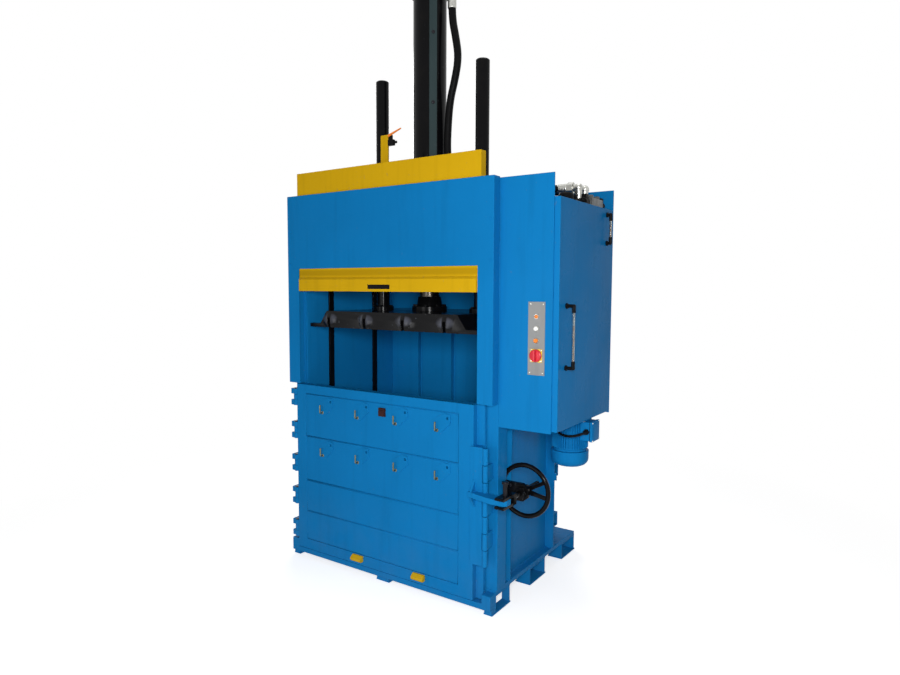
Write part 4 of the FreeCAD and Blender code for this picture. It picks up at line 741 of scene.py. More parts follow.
def grille_recipe():
    """Round wires and bars of a fan cowl's intake."""
    recipe = Recipe("Intake grille", rings=5, first=0.018, gap=0.008, wire=0.0013, bars=8)
    source = recipe.source
    line = recipe.step("GeometryNodeMeshLine", {
        "Count": source["rings"], "Start Location": (0.0, 0.0, 0.0),
        "Offset": (0.0, 0.0, 0.0)})[0]
    size = recipe.maths("ADD", source["first"], recipe.times(
        recipe.step("GeometryNodeInputIndex")[0], source["gap"]))
    circle = recipe.step("GeometryNodeCurvePrimitiveCircle", {
        "Resolution": 48, "Radius": 1.0})[0]
    wires = recipe.step("GeometryNodeInstanceOnPoints", {
        "Points": line, "Instance": circle, "Scale": recipe.vector(size, size, size)})[0]
    spoke = recipe.step("GeometryNodeCurvePrimitiveLine", {
        "Start": recipe.vector(source["first"]),
        "End": recipe.vector(recipe.maths("ADD", source["first"], recipe.times(
            source["gap"], recipe.maths("SUBTRACT", source["rings"], 1.0))))})[0]
    star = recipe.step("GeometryNodeMeshCircle", {
        "Vertices": source["bars"], "Radius": 0.000001})[0]
    turn = recipe.step("FunctionNodeAlignRotationToVector", {
        "Vector": recipe.step("GeometryNodeInputPosition")[0]}, axis="X")[0]
    spokes = recipe.step("GeometryNodeInstanceOnPoints", {
        "Points": star, "Instance": spoke, "Rotation": turn})[0]
    lines = recipe.step("GeometryNodeRealizeInstances", {
        0: recipe.joined(wires, spokes)})[0]
    section = recipe.step("GeometryNodeCurvePrimitiveCircle", {
        "Resolution": 6, "Radius": source["wire"]})[0]
    grille = recipe.step("GeometryNodeCurveToMesh", {
        "Curve": lines, "Profile Curve": section, "Fill Caps": True})[0]
    return recipe.close(on_seat(recipe, grille))


def rib_recipe():
    """Equal folded ribs, one above the other."""
    recipe = Recipe("Folded ribs", count=5, pitch=0.33)
    source = recipe.source
    line = recipe.step("GeometryNodeMeshLine", {
        "Count": source["count"], "Offset": recipe.vector(z=source["pitch"])})[0]
    return recipe.close(recipe.step("GeometryNodeInstanceOnPoints", {
        "Points": line, "Instance": source["Geometry"]})[0])


# ----------------------------------------------------------------- operators
class BALER_OT_finishes(bpy.types.Operator):
    """Mix the paints, plated metals, plastics and rubber."""
    bl_idname = "baler.finishes"
    bl_label = "Mix finishes"

    def execute(self, context):
        colours = context.scene.baler_colours
        enamel("blue_paint", colours.blue, 0.27, 0.4, 0.07, 0.2)
        enamel("yellow_paint", colours.yellow, 0.30, 0.4, 0.1, 0.2)
        gate = enamel("gate_paint", colours.yellow, 0.30, 0.4, 0.1, 0.2)
        # Painted shade: a darker band across the gate panel just under the header's edge,
        # where the portal shades it.
        painted_shade_band = gate.maths("MULTIPLY", gate.spread(gate.height(), 1.797, 1.812),
                          gate.spread(gate.height(), 1.834, 1.846, 1.0, 0.0))
        gate.tint(gate.maths("MULTIPLY", painted_shade_band, 0.85), 0.66)
        black = enamel("black_paint", colours.black, 0.13, 0.5, 0.06, 0.15, BLACK_IOR)
        black.lay(black.maths("MULTIPLY", black.clouds(9.0, 5.0, 0.55, 0.75), 0.06), GRIME)
        platen = enamel("platen_paint", colours.black, 0.16, 0.5, 0.04, 0.3, PLATEN_IOR)
        # Painted highlight: grey ovals beside each strap slot stand in for the light on the
        # platen's domes.
        platen.lay(platen.slot_painted_highlights(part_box("platen_block"), STRAP_X[2], STRAP_PITCH),
                   HIGHLIGHT_GREY)
        enamel("rail_paint", screen(58, 72, 74), 0.36, 0.4, 0.0, 0.2)
        enamel("panel_grey", colours.panel, 0.45, 0.4, 0.0, 0.0)
        plated("bright_steel", screen(196, 196, 190), 0.34, 0.5)
        plated("chrome_rod", screen(82, 78, 72), 0.26, 0.35, (1.0, 1.0, 30.0))
        plated("bronze_bush", screen(176, 140, 84), 0.34, 0.6)
        plated("hook_steel", screen(116, 120, 104), 0.40, 0.7)
        plated("pin_steel", screen(44, 44, 48), 0.30, 0.4)
        plated("valve_steel", screen(98, 100, 100), 0.36, 0.6)
        moulded("interlock_case", screen(56, 31, 30), 0.42, 0.00005, 0.3)
        moulded("black_plastic", screen(16, 16, 17), 0.44, 0.00006, 0.25)
        moulded("white_plastic", screen(240, 240, 236), 0.30, 0.00002)
        moulded("orange_plastic", colours.orange, 0.28, 0.00002)
        moulded("yellow_plastic", screen(236, 196, 40), 0.34, 0.00003)
        moulded("red_plastic", colours.red, 0.30, 0.00003)
        moulded("hose_rubber", screen(15, 15, 16), 0.34, 0.00012, 0.25)
        moulded("cable_sheath", screen(12, 12, 13), 0.50, 0.00008, 0.25)
        moulded("sight_oil", screen(168, 96, 20), 0.20, 0.00001, clear=0.35)
        moulded("sight_glass", screen(210, 216, 212), 0.10, 0.00001, clear=0.9)
        return {"FINISHED"}


class BALER_OT_frame(bpy.types.Operator):
    """Finish the base, body and portal plates."""
    bl_idname = "baler.frame"
    bl_label = "Frame and body"

    def execute(self, context):
        refined_all("frame", "blue_paint", base_deck=0.003, front_beam=0.003, feet=0.002,
                    front_posts=0.003, side_walls=0.003, rear_wall=0.002,
                    chamber_floor=0.001, top_beams=0.003, portal_frame=0.0025,
                    gate_guides=0.0015, post_knuckles=0.001, lock_barrels=0.001)
        refined_all("frame", "black_paint", platen_rails=0.002)
        return {"FINISHED"}


class BALER_OT_rear_ribs(bpy.types.Operator):
    """Fold the channel ribs across the rear wall."""
    bl_idname = "baler.rear_ribs"
    bl_label = "Rear ribs"

    def execute(self, context):
        sizes = context.scene.baler_sizes
        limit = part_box("rear_ribs")[0].z + sizes.rib_pitch / 2
        form = merged("rear_ribs")
        above = [vert for vert in form.verts if vert.co.z > limit]
        bmesh.ops.delete(form, geom=above, context="VERTS")
        flatten(form)
        piece = rib_recipe().grow(
            "rear_ribs.finished", closed_mesh(form, "lowest_rib"), "frame", "blue_paint",
            "blue_paint", ("rear_ribs",), count=sizes.ribs, pitch=sizes.rib_pitch)
        bevel = piece.modifiers.new("Folds", "BEVEL")
        bevel.width = 0.0025
        bevel.segments = 2
        bevel.harden_normals = True
        return {"FINISHED"}


class BALER_OT_door(bpy.types.Operator):
    """Finish the door, its hinges, strap hooks, interlock and wedges."""
    bl_idname = "baler.door"
    bl_label = "Front door"

    def execute(self, context):
        refined_all("door", "blue_paint", door_frame=0.003, door_liner=0.0015,
                    door_bands=0.0025, door_knuckles=0.001, strap_plates=0.0008)
        refined_all("door", "yellow_paint", door_wedges=0.002)
        self.hooks()
        self.interlock()
        self.pins()
        return {"FINISHED"}

    def hooks(self):
        """Bent round hooks that hold the bale straps."""
        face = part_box("strap_plates")[0].y
        form = Form()
        for x in STRAP_X:
            for z in (0.987, 0.718):
                foot = z - 0.024
                form.bent_bar([
                    (x, face, foot), (x, face - 0.010, foot), (x, face - 0.020, z - 0.022),
                    (x, face - 0.020, z - 0.012), (x, face - 0.020, z + 0.012),
                    (x, face - 0.0195, z + 0.025)], 0.0048, 12)
                form.turned([(0, 0.0), (0.010, 0.0), (0.0085, 0.0025), (0.0055, 0.0036),
                             (0, 0.0036)], (x, face, foot), "-y", 24)
        form.finished("strap_hooks", "door", "bright_steel", "hook_steel")

    def interlock(self):
        """The interlock's case with its actuator slot."""
        low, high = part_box("interlock_block")
        form = Form()
        form.block((low.x, low.y + 0.004, low.z), (high.x, high.y, high.z), 0.002)
        form.block((low.x + 0.003, low.y, low.z + 0.003),
                   (high.x - 0.003, low.y + 0.006, low.z + 0.034), 0.0015)
        form.block((low.x + 0.003, low.y, high.z - 0.010),
                   (high.x - 0.003, low.y + 0.006, high.z - 0.003), 0.0012)
        form.done("interlock.finished", "door", "black_paint", "interlock_case",
                  ("interlock_block",))

    def pins(self):
        """Hinge pins with flat heads."""
        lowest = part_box("hinge_pins")[0].z
        x, y, _ = middle("hinge_pins")
        form = Form()
        for i in range(HINGES):
            form.turned([(0, 0), (0.010, 0), (0.010, 0.106), (0.014, 0.106),
                         (0.014, 0.110), (0.011, 0.112), (0, 0.112)],
                        (x, y, lowest + HINGE_PITCH * i), "z", 32)
        form.finished("hinge_pins", "frame", "bright_steel", "pin_steel")


class BALER_OT_lock(bpy.types.Operator):
    """Build the door lock: leaf, fork, drop pin, bracket and handwheel."""
    bl_idname = "baler.lock"
    bl_label = "Door lock"

    def execute(self, context):
        refined_all("door", "blue_paint", lock_leaf=0.0015)
        refined_all("spindle", "black_paint", lock_spindle=0.0012)
        refined_all("frame", "black_paint", lock_bracket=0.002)
        self.thread()
        self.drop_pin()
        self.handwheel()
        return {"FINISHED"}

    def thread(self):
        """The threaded end of the draw spindle, behind the handwheel."""
        pitch, crest, root, end = 0.006, 0.0149, 0.0128, 0.150
        profile = [(0, 0.0)]
        for i in range(24):
            profile += [(crest, 0.002 + pitch * i), (crest, 0.0045 + pitch * i),
                        (root, 0.0055 + pitch * i), (root, 0.0070 + pitch * i)]
        profile += [(root, 0.1485), (0.0105, end), (0, end)]
        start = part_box("lock_spindle")[1].y - 0.1502
        form = Form().turned(profile, (LOCK_AXIS[0], start, LOCK_AXIS[2]), "y", 40)
        form.done("spindle_thread", "spindle", "bright_steel", "bright_steel")

    def drop_pin(self):
        """The drop pin with its grooved knob."""
        low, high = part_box("lock_pin")
        x, y, _ = middle("lock_pin")
        tall = high.z - low.z
        form = Form().turned([
            (0, 0), (0.008, 0), (0.011, 0.004), (0.011, tall - 0.012),
            (0.018, tall - 0.012), (0.018, tall - 0.008), (0.0165, tall - 0.0065),
            (0.018, tall - 0.005), (0.016, tall - 0.001), (0.012, tall), (0, tall)],
            (x, y, low.z), "z", 48)
        form.finished("lock_pin", "lock_pin", "bright_steel", "pin_steel")

    def handwheel(self):
        """A round rim on twin bars with a threaded hub."""
        low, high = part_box("handwheel")
        centre = Vector(LOCK_AXIS)
        rim, nut, hub_back, bar = 0.013, 0.018, 0.024, 0.014
        reach = (high.x - low.x) / 2 - rim
        nut_back = low.y + nut - centre.y
        form = Form().ring(reach, rim - 0.0001, centre, "y", 128, 24)
        form.turned([
            (0.0151, nut_back), (0.0239, nut_back), (0.0239, -0.0217), (0.0315, -0.0217),
            (0.032, -0.0205), (0.032, 0.012), (0.030, 0.018), (0.026, hub_back - 0.001),
            (0.0240, hub_back), (0.0151, hub_back)], centre, "y", 64, closed=True)
        form.hexagon(0.060, nut, (centre.x, low.y, centre.z), "y", 0.0012)
        edge = ((0.026, 0.0132), (0.070, 0.0105), (0.118, 0.0105), (reach, 0.0115))
        outline = [*edge, *((spot, -half) for spot, half in reversed(edge))]
        for angle in (28, -10, 170, 208):
            along = math.radians(angle)
            turn = Matrix(((math.cos(along), -math.sin(along), 0), (0, 0, 1),
                           (math.sin(along), math.cos(along), 0)))
            form.prism(outline, bar, centre - Vector((0, bar / 2, 0)), turn, 0.003)
        form.finished("handwheel", "handwheel", "black_paint", "black_paint")


class BALER_OT_gate(bpy.types.Operator):
    """Finish the feed gate and its handle lip."""
    bl_idname = "baler.gate"
    bl_label = "Feed gate"

    def execute(self, context):
        refined("gate_panel", "gate", "gate_paint", 0.0015)
        refined_all("gate", "yellow_paint", gate_lip=0.0012)
        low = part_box("gate_lip")[0]
        back = low.y + 0.0051
        # A thin black sheet at the back of the grip slot keeps the slot dark.
        slot_sheet = Form().block((-0.096, back, low.z + 0.0052),
                             (0.088, back + 0.003, low.z + 0.052), 0.0006)
        slot_sheet.done("grip_slot_black_sheet", "gate", "black_plastic", "black_paint")
        return {"FINISHED"}


class BALER_OT_press(bpy.types.Operator):
    """Finish the cylinder, rod, guide columns and platen."""
    bl_idname = "baler.press"
    bl_label = "Press"

    def execute(self, context):
        refined("platen_block", "platen", "platen_paint", 0.002)
        refined_all("platen", "black_paint", rod_flange=0.001, guide_columns=0.0)
        refined_all("platen", "chrome_rod", piston_rod=0.0)
        refined_all("frame", "bronze_bush", column_bushes=0.0)
        refined_all("frame", "black_paint", cylinder_barrel=0.0, cylinder_cap=0.0)
        refined_all("frame", "rail_paint", sensor_rail=0.001)
        return {"FINISHED"}


# Level gauges: name, y, lower and upper fitting, and reach from the tank's side.
GAUGES = (("low", -0.410, 1.336, 1.647, 0.042), ("high", 0.125, 1.988, 2.146, 0.024))
OIL_LEVEL = 0.72


class BALER_OT_power(bpy.types.Operator):
    """Build the tank, valve block, breather, motor, terminal box and level gauges."""
    bl_idname = "baler.power"
    bl_label = "Power unit"

    def execute(self, context):
        refined_all("frame", "blue_paint", oil_tank=0.003, tank_end_plates=0.002)
        self.valve_block()
        self.breather()
        self.motor(context.scene.baler_sizes)
        self.terminal_box()
        self.gauge()
        return {"FINISHED"}

    def valve_block(self):
        """A plated block with hexagon plugs, and a pair of coils on each side."""
        low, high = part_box("valve_block")
        top = high.z - 0.018
        x0, x1 = low.x, high.x
        y0, y1 = low.y + 0.070, high.y - 0.070
        axis_y = (y0 + y1) / 2
        coil_x = (x0 + 0.030, x1 - 0.030)
        form = Form().block((x0, y0, low.z), (x1, y1, top), 0.0025)
        form.block((x0 + 0.006, y0 - 0.010, low.z + 0.030),
                   (x1 - 0.006, y1 + 0.010, top - 0.006), 0.002)
        for side in (-1, 1):
            form.hexagon(0.032, 0.018, (x0 + 0.094, axis_y + 0.044 * side, top), "z",
                         0.0012)
            form.turned([(0, 0), (0.019, 0), (0.019, 0.006), (0.0165, 0.009), (0, 0.009)],
                        (x0 + 0.060, axis_y + 0.026 * side, top), "z", 32)
        form.hexagon(0.022, 0.010, (x0 + 0.060, axis_y, top), "z", 0.001)
        form.finished("valve_block", "frame", "bright_steel", "valve_steel")
        coils = Form()
        for x in coil_x:
            for axis, face, far in (("-y", y0 - 0.010, low.y), ("y", y1 + 0.010, high.y)):
                deep = abs(face - far)
                coils.turned([
                    (0, 0), (0.0215, 0), (0.0215, 0.044), (0.020, 0.046), (0.012, 0.046),
                    (0.012, 0.050), (0.010, 0.052), (0.010, deep - 0.001), (0, deep)],
                    (x, face, top - 0.026), axis, 40)
        for x in coil_x:
            for y in (y0 - 0.046, y1 + 0.016):
                coils.block((x - 0.014, y, top - 0.010),
                            (x + 0.014, y + 0.030, top + 0.016), 0.002)
        coils.done("valve_coils", "frame", "black_plastic", "black_plastic")

    def breather(self):
        """The filler and breather cap with a knurled rim."""
        x, y, _ = middle("breather_cap")
        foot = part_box("breather_cap")[0].z
        form = Form().turned([
            (0, 0), (0.046, 0), (0.046, 0.007), (0.045, 0.008), (0.026, 0.008),
            (0.026, 0.060), (0.039, 0.068), (0.039, 0.120), (0.036, 0.126), (0.031, 0.131),
            (0.012, 0.132), (0, 0.132)], (x, y, foot), "z", 64)
        for aside, ahead in round_spots(0.0385, 24):
            form.turned([(0, 0), (0.0016, 0.001), (0.0016, 0.047), (0, 0.048)],
                        (x + aside, y + ahead, foot + 0.070), "z", 6)
        form.finished("breather_cap", "frame", "black_plastic", "black_plastic")

    def motor(self, sizes):
        """The motor hangs from its flange, with fins round it and the cowl below."""
        low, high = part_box("fan_cowl")
        x, y, _ = middle("fan_cowl")
        join, top = high.z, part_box("oil_tank")[0].z
        form = Form().turned([
            (0, top), (0.117, top), (0.118, top - 0.001), (0.118, top - 0.014),
            (0.116, top - 0.016), (0.100, top - 0.017), (0.0885, top - 0.026),
            (0.088, join + 0.012), (0.092, join + 0.010), (0.092, join), (0, join)],
            (x, y, 0), "z", 96)
        box_low, box_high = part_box("terminal_box")
        form.block((x + 0.068, y - 0.047, box_low.z + 0.006),
                   (box_low.x + 0.002, y + 0.047, box_high.z - 0.004), 0.003)
        form.done("motor_body", "frame", "blue_paint", "blue_paint", ("motor_frame",))
        axis = paths_mesh("motor_axis", [[(x, y, (join + top) / 2 - 0.003)]])
        fin_recipe().grow("motor_fins", axis, "frame", "blue_paint", "blue_paint",
                          count=sizes.fins, thickness=sizes.fin, inside=0.086,
                          outside=0.1008, height=top - join - 0.040)
        cowl = Form().turned([
            (0.090, join - 0.001), (0.1045, join - 0.001), (0.106, join - 0.003),
            (0.106, join - 0.014), (0.1052, join - 0.015), (0.1052, join - 0.046),
            (0.1035, join - 0.058), (0.098, join - 0.070), (0.088, join - 0.080),
            (0.074, join - 0.0865), (0.058, join - 0.0895), (0.056, join - 0.088),
            (0.056, join - 0.082), (0.090, join - 0.056)], (x, y, 0), "z", 96, closed=True)
        cowl.turned([(0, low.z + 0.012), (0.058, low.z + 0.012), (0.058, low.z + 0.014),
                     (0, low.z + 0.014)], (x, y, 0), "z", 48)
        cowl.turned([(0, low.z), (0.013, low.z), (0.015, low.z + 0.002),
                     (0.015, low.z + 0.012), (0, low.z + 0.012)], (x, y, 0), "z", 32)
        cowl.finished("fan_cowl", "frame", "blue_paint", "blue_paint")
        mouth = paths_mesh("cowl_mouth", [[(x, y, low.z + 0.0035)]])
        grille_recipe().grow("cowl_grille", mouth, "frame", "blue_paint", "blue_paint",
                             rings=6, first=0.015, gap=0.0083, wire=0.0013, bars=8)

    def terminal_box(self):
        """The terminal box with a screwed lid, gasket and cable entries."""
        low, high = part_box("terminal_box")
        form = Form().block((low.x, low.y + 0.003, low.z + 0.003),
                            (high.x - 0.022, high.y - 0.003, high.z - 0.003), 0.005)
        form.block((high.x - 0.020, low.y, low.z), (high.x - 0.006, high.y, high.z), 0.005)
        form.block((high.x - 0.008, low.y + 0.010, low.z + 0.010),
                   (high.x - 0.0035, high.y - 0.010, high.z - 0.010), 0.002)
        form.finished("terminal_box", "frame", "blue_paint", "blue_paint")
        gasket = Form().block((high.x - 0.0225, low.y + 0.0015, low.z + 0.0015),
                              (high.x - 0.0195, high.y - 0.0015, high.z - 0.0015), 0.0008)
        gasket.done("terminal_gasket", "frame", "black_plastic", "black_plastic")

    def gauge(self):
        """The two oil level gauges, which together stand for their node."""
        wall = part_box("oil_tank")[1].x
        fittings = Form()
        for name, y, foot, top, reach in GAUGES:
            x = wall + reach
            for z, way in ((top, -1), (foot, 1)):
                fittings.hexagon(0.024, 0.010, (wall, y, z), "x", 0.001)
                fittings.turned([(0, 0), (0.0088, 0), (0.0088, reach), (0, reach)],
                                (wall, y, z), "x", 24)
                fittings.turned([(0, -0.0095), (0.006, -0.008), (0.0094, -0.003),
                                 (0.0094, 0.003), (0.006, 0.008), (0, 0.0095)],
                                (x, y, z), "z", 24)
                neck = z if way > 0 else z - 0.034
                fittings.turned([(0, 0), (0.0092, 0), (0.0092, 0.034), (0, 0.034)],
                                (x, y, neck), "z", 24)
                nut = z + 0.020 if way > 0 else z - 0.033
                fittings.hexagon(0.0168, 0.013, (x, y, nut), "z", 0.0008)
            low, high = foot + 0.030, top - 0.030
            oil = low + (high - low) * OIL_LEVEL
            tube = Form().turned([(0.0046, low), (0.006, low), (0.006, high),
                                  (0.0046, high)], (x, y, 0), "z", 24, closed=True)
            tube.done("gauge_tube_" + name, "frame", None, "sight_glass")
            column = Form().turned([(0, low), (0.0044, low), (0.0044, oil),
                                    (0, oil + 0.0006)], (x, y, 0), "z", 20)
            column.done("gauge_oil_" + name, "frame", None, "sight_oil")
        fittings.done("gauge_fittings", "frame", "black_plastic", "black_plastic",
                      ("level_gauge",))


# Routes of the hoses and the motor's lead, and their real lengths.
HOSE_ROUTES = {
    "cap_hose": (
        (0.1625, -0.073, 3.466), (0.1625, -0.073, 3.354), (0.1905, -0.074, 3.234),
        (0.2125, -0.076, 3.112), (0.1885, -0.076, 2.988), (0.1505, -0.075, 2.866),
        (0.134, -0.074, 2.676), (0.134, -0.075, 2.540), (0.164, -0.081, 2.431),
        (0.244, -0.109, 2.351), (0.353, -0.147, 2.320), (0.460, -0.159, 2.306),
        (0.560, -0.139, 2.300), (0.670, -0.095, 2.296), (0.770, -0.039, 2.292),
        (0.842, -0.009, 2.290), (0.902, -0.009, 2.290)),
    "foot_hose": (
        (0.064, 0.0715, 2.335), (0.154, 0.0715, 2.335), (0.290, 0.0675, 2.320),
        (0.430, 0.0615, 2.302), (0.570, 0.0635, 2.298), (0.700, 0.0735, 2.294),
        (0.832, 0.079, 2.290), (0.902, 0.079, 2.290)),
}
HOSE_LENGTHS = {"cap_hose": 1.861, "foot_hose": 0.841}
LEAD_ROUTE = (
    (0.925, -0.177, 0.998), (0.925, -0.177, 0.971), (0.947, -0.184, 0.948),
    (0.987, -0.197, 0.938), (1.033, -0.203, 0.942), (1.050, -0.186, 0.944),
    (1.068, -0.146, 0.948), (1.068, -0.102, 0.948))
LEAD_LENGTH = 0.257


class BALER_OT_hoses(bpy.types.Operator):
    """Lay the hydraulic hoses and the motor's lead with their fittings."""
    bl_idname = "baler.hoses"
    bl_label = "Hoses and lead"

    def execute(self, context):
        sizes = context.scene.baler_sizes
        for name, route in HOSE_ROUTES.items():
            self.laid(name, route, sizes.hose, HOSE_LENGTHS[name], "hose_rubber", "hoses")
        self.laid("motor_lead", LEAD_ROUTE, sizes.lead, LEAD_LENGTH, "cable_sheath",
                  "motor_cable")
        self.fittings()
        self.glands()
        return {"FINISHED"}

    def laid(self, name, route, diameter, real, paint, node):
        """One hose or lead along its route."""
        line = curve_line(name, route, diameter / 2, 10)
        line.materials.append(finish(paint))
        piece = put(name, line)
        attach(piece, "frame")
        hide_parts(node)

    def fittings(self):
        """Elbows with swivel nuts, and crimped sleeves on the hose ends."""
        refined_all("frame", "bright_steel", hose_fittings=0.0012)
        long = 0.062
        profile = [(0.0226, 0), (0.0246, 0.001)]
        for i in range(6):
            base = 0.003 + 0.0095 * i
            profile += [(0.0256, base), (0.0263, base + 0.002),
                        (0.0263, base + 0.0055), (0.0249, base + 0.0075)]
        profile += [(0.0246, 0.061), (0.0226, long)]
        sleeves = Form()
        for route in HOSE_ROUTES.values():
            for end, beyond in ((route[0], route[1]), (route[-1], route[-2])):
                start = Vector(end)
                way = Vector(beyond) - start
                axis = "-z" if abs(way.z) > 0.05 else "x"
                if axis == "x" and way.x < 0:
                    start = start - Vector((long, 0, 0))
                sleeves.turned(profile, start, axis, 40, closed=True)
        sleeves.done("hose_sleeves", "frame", "bright_steel", "bright_steel")

    def glands(self):
        """Cable glands with a nut, a dome and a tapered bend guard."""
        form = Form()
        for end, axis in ((LEAD_ROUTE[0], "-z"), (LEAD_ROUTE[-1], "-y")):
            root = Vector(end) - TURN[axis] @ Vector((0, 0, 0.022))
            form.hexagon(0.0295, 0.010, root, axis, 0.001)
            form.turned([(0, 0.009), (0.0145, 0.009), (0.0145, 0.013), (0.0138, 0.0135),
                         (0.0138, 0.0145), (0.0145, 0.015), (0.0140, 0.019),
                         (0.0115, 0.0218), (0, 0.0220)], root, axis, 32)
            form.turned([(0.0071, 0.0215), (0.0100, 0.0215), (0.0096, 0.027),
                         (0.0090, 0.033), (0.0082, 0.040), (0.0075, 0.0435),
                         (0.0071, 0.044)], root, axis, 32, closed=True)
        form.done("lead_glands", "frame", "black_plastic", "black_plastic",
                  ("cable_glands",))


class BALER_OT_controls(bpy.types.Operator):
    """Build the control plate, buttons, pilot lamp and main switch."""
    bl_idname = "baler.controls"
    bl_label = "Controls"

    def execute(self, context):
        refined_all("frame", "panel_grey", control_plate=0.0008)
        refined_all("frame", "yellow_plastic", switch_backing=0.0008)
        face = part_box("control_plate")[0].y
        self.buttons(face)
        self.lamp(face)
        self.switch()
        return {"FINISHED"}

    def buttons(self, face):
        """Two push buttons in their bezels."""
        bezels = Form()
        for node, body, paint in (
                ("button_white", "white_button", "white_plastic"),
                ("button_orange", "orange_button", "orange_plastic")):
            spot = (CONTROL_X, face, middle(node)[2])
            bezels.turned([(0.0112, 0), (0.0150, 0), (0.0150, 0.0035), (0.0146, 0.0048),
                           (0.0134, 0.0060), (0.0124, 0.0058), (0.0116, 0.0045),
                           (0.0112, 0.0045)], spot, "-y", 48, closed=True)
            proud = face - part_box(node)[0].y
            button = Form().turned([
                (0, -0.005), (0.011, -0.005), (0.011, proud - 0.003),
                (0.0105, proud - 0.0012), (0.0092, proud - 0.0002),
                (0.0080, proud - 0.0001), (0.0065, proud - 0.0007),
                (0, proud - 0.0011)], spot, "-y", 48)
            button.finished(node, body, paint, paint)
        bezels.finished("button_bezels", "frame", "bright_steel", "bright_steel")

    def lamp(self, face):
        """The pilot lamp's ring and stepped lens."""
        spot = (CONTROL_X, face, middle("pilot_lamp")[2])
        ring = Form().turned([
            (0.009, 0), (0.0130, 0), (0.0130, 0.0025), (0.0122, 0.0038),
            (0.0100, 0.0040), (0.009, 0.0036)], spot, "-y", 48, closed=True)
        ring.done("lamp_ring", "frame", "bright_steel", "bright_steel")
        lens = Form().turned([
            (0, 0), (0.0095, 0), (0.0092, 0.0070), (0.0080, 0.0080), (0.0084, 0.0090),
            (0.0066, 0.0104), (0.0040, 0.0116), (0, 0.0120)], spot, "-y", 48)
        lens.finished("pilot_lamp", "frame", "yellow_plastic", "orange_plastic")

    def switch(self):
        """The red main switch with its grip bar."""
        x, z = CONTROL_X, middle("main_switch")[2]
        face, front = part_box("switch_backing")[0].y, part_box("main_switch")[0].y
        form = Form().turned([
            (0, -0.009), (0.008, -0.009), (0.008, 0.0003), (0.0310, 0.0003),
            (0.0320, 0.0012), (0.0320, 0.0085), (0.0305, 0.0115), (0.0265, 0.0135),
            (0.0120, 0.0140), (0, 0.0140)], (x, face, z), "-y", 72)
        for aside, above in round_spots(0.0303, 20):
            form.turned([(0, 0.0012), (0.0017, 0.0018), (0.0017, 0.0080), (0, 0.0090)],
                        (x + aside, face, z + above), "-y", 8)
        form.block((x - 0.0068, front + 0.0002, z - 0.0268),
                   (x + 0.0068, face - 0.0120, z + 0.0268), 0.0026)
        form.finished("main_switch", "rotary_switch", "red_plastic", "red_plastic")


class BALER_OT_limit_switch(bpy.types.Operator):
    """Build the feed gate's limit switch on its yellow stand."""
    bl_idname = "baler.limit_switch"
    bl_label = "Limit switch"

    def execute(self, context):
        refined_all("frame", "yellow_paint", limit_stand=0.0012)
        refined_all("frame", "black_plastic", limit_switch=0.0012)
        refined_all("lever", "orange_plastic", limit_lever=0.0008)
        return {"FINISHED"}


UP, DOWN, AHEAD, RIGHT = (0, 0, 1), (0, 0, -1), (0, -1, 0), (1, 0, 0)


def circle_spots(centre, radius, count, aim, first=0.0):
    """Points on a level circle, all facing one way."""
    spots = []
    for i in range(count):
        angle = math.radians(first) + 2 * math.pi * i / count
        spots.append(((centre[0] + radius * math.cos(angle),
                       centre[1] + radius * math.sin(angle), centre[2]), aim))
    return spots


def corner_spots(node, aside, above):
    """Points in the four corners of a node's front, in from its sides and ends."""
    low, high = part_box(node)
    return [((x, low.y, z), AHEAD) for x in (low.x + aside, high.x - aside)
            for z in (low.z + above, high.z - above)]


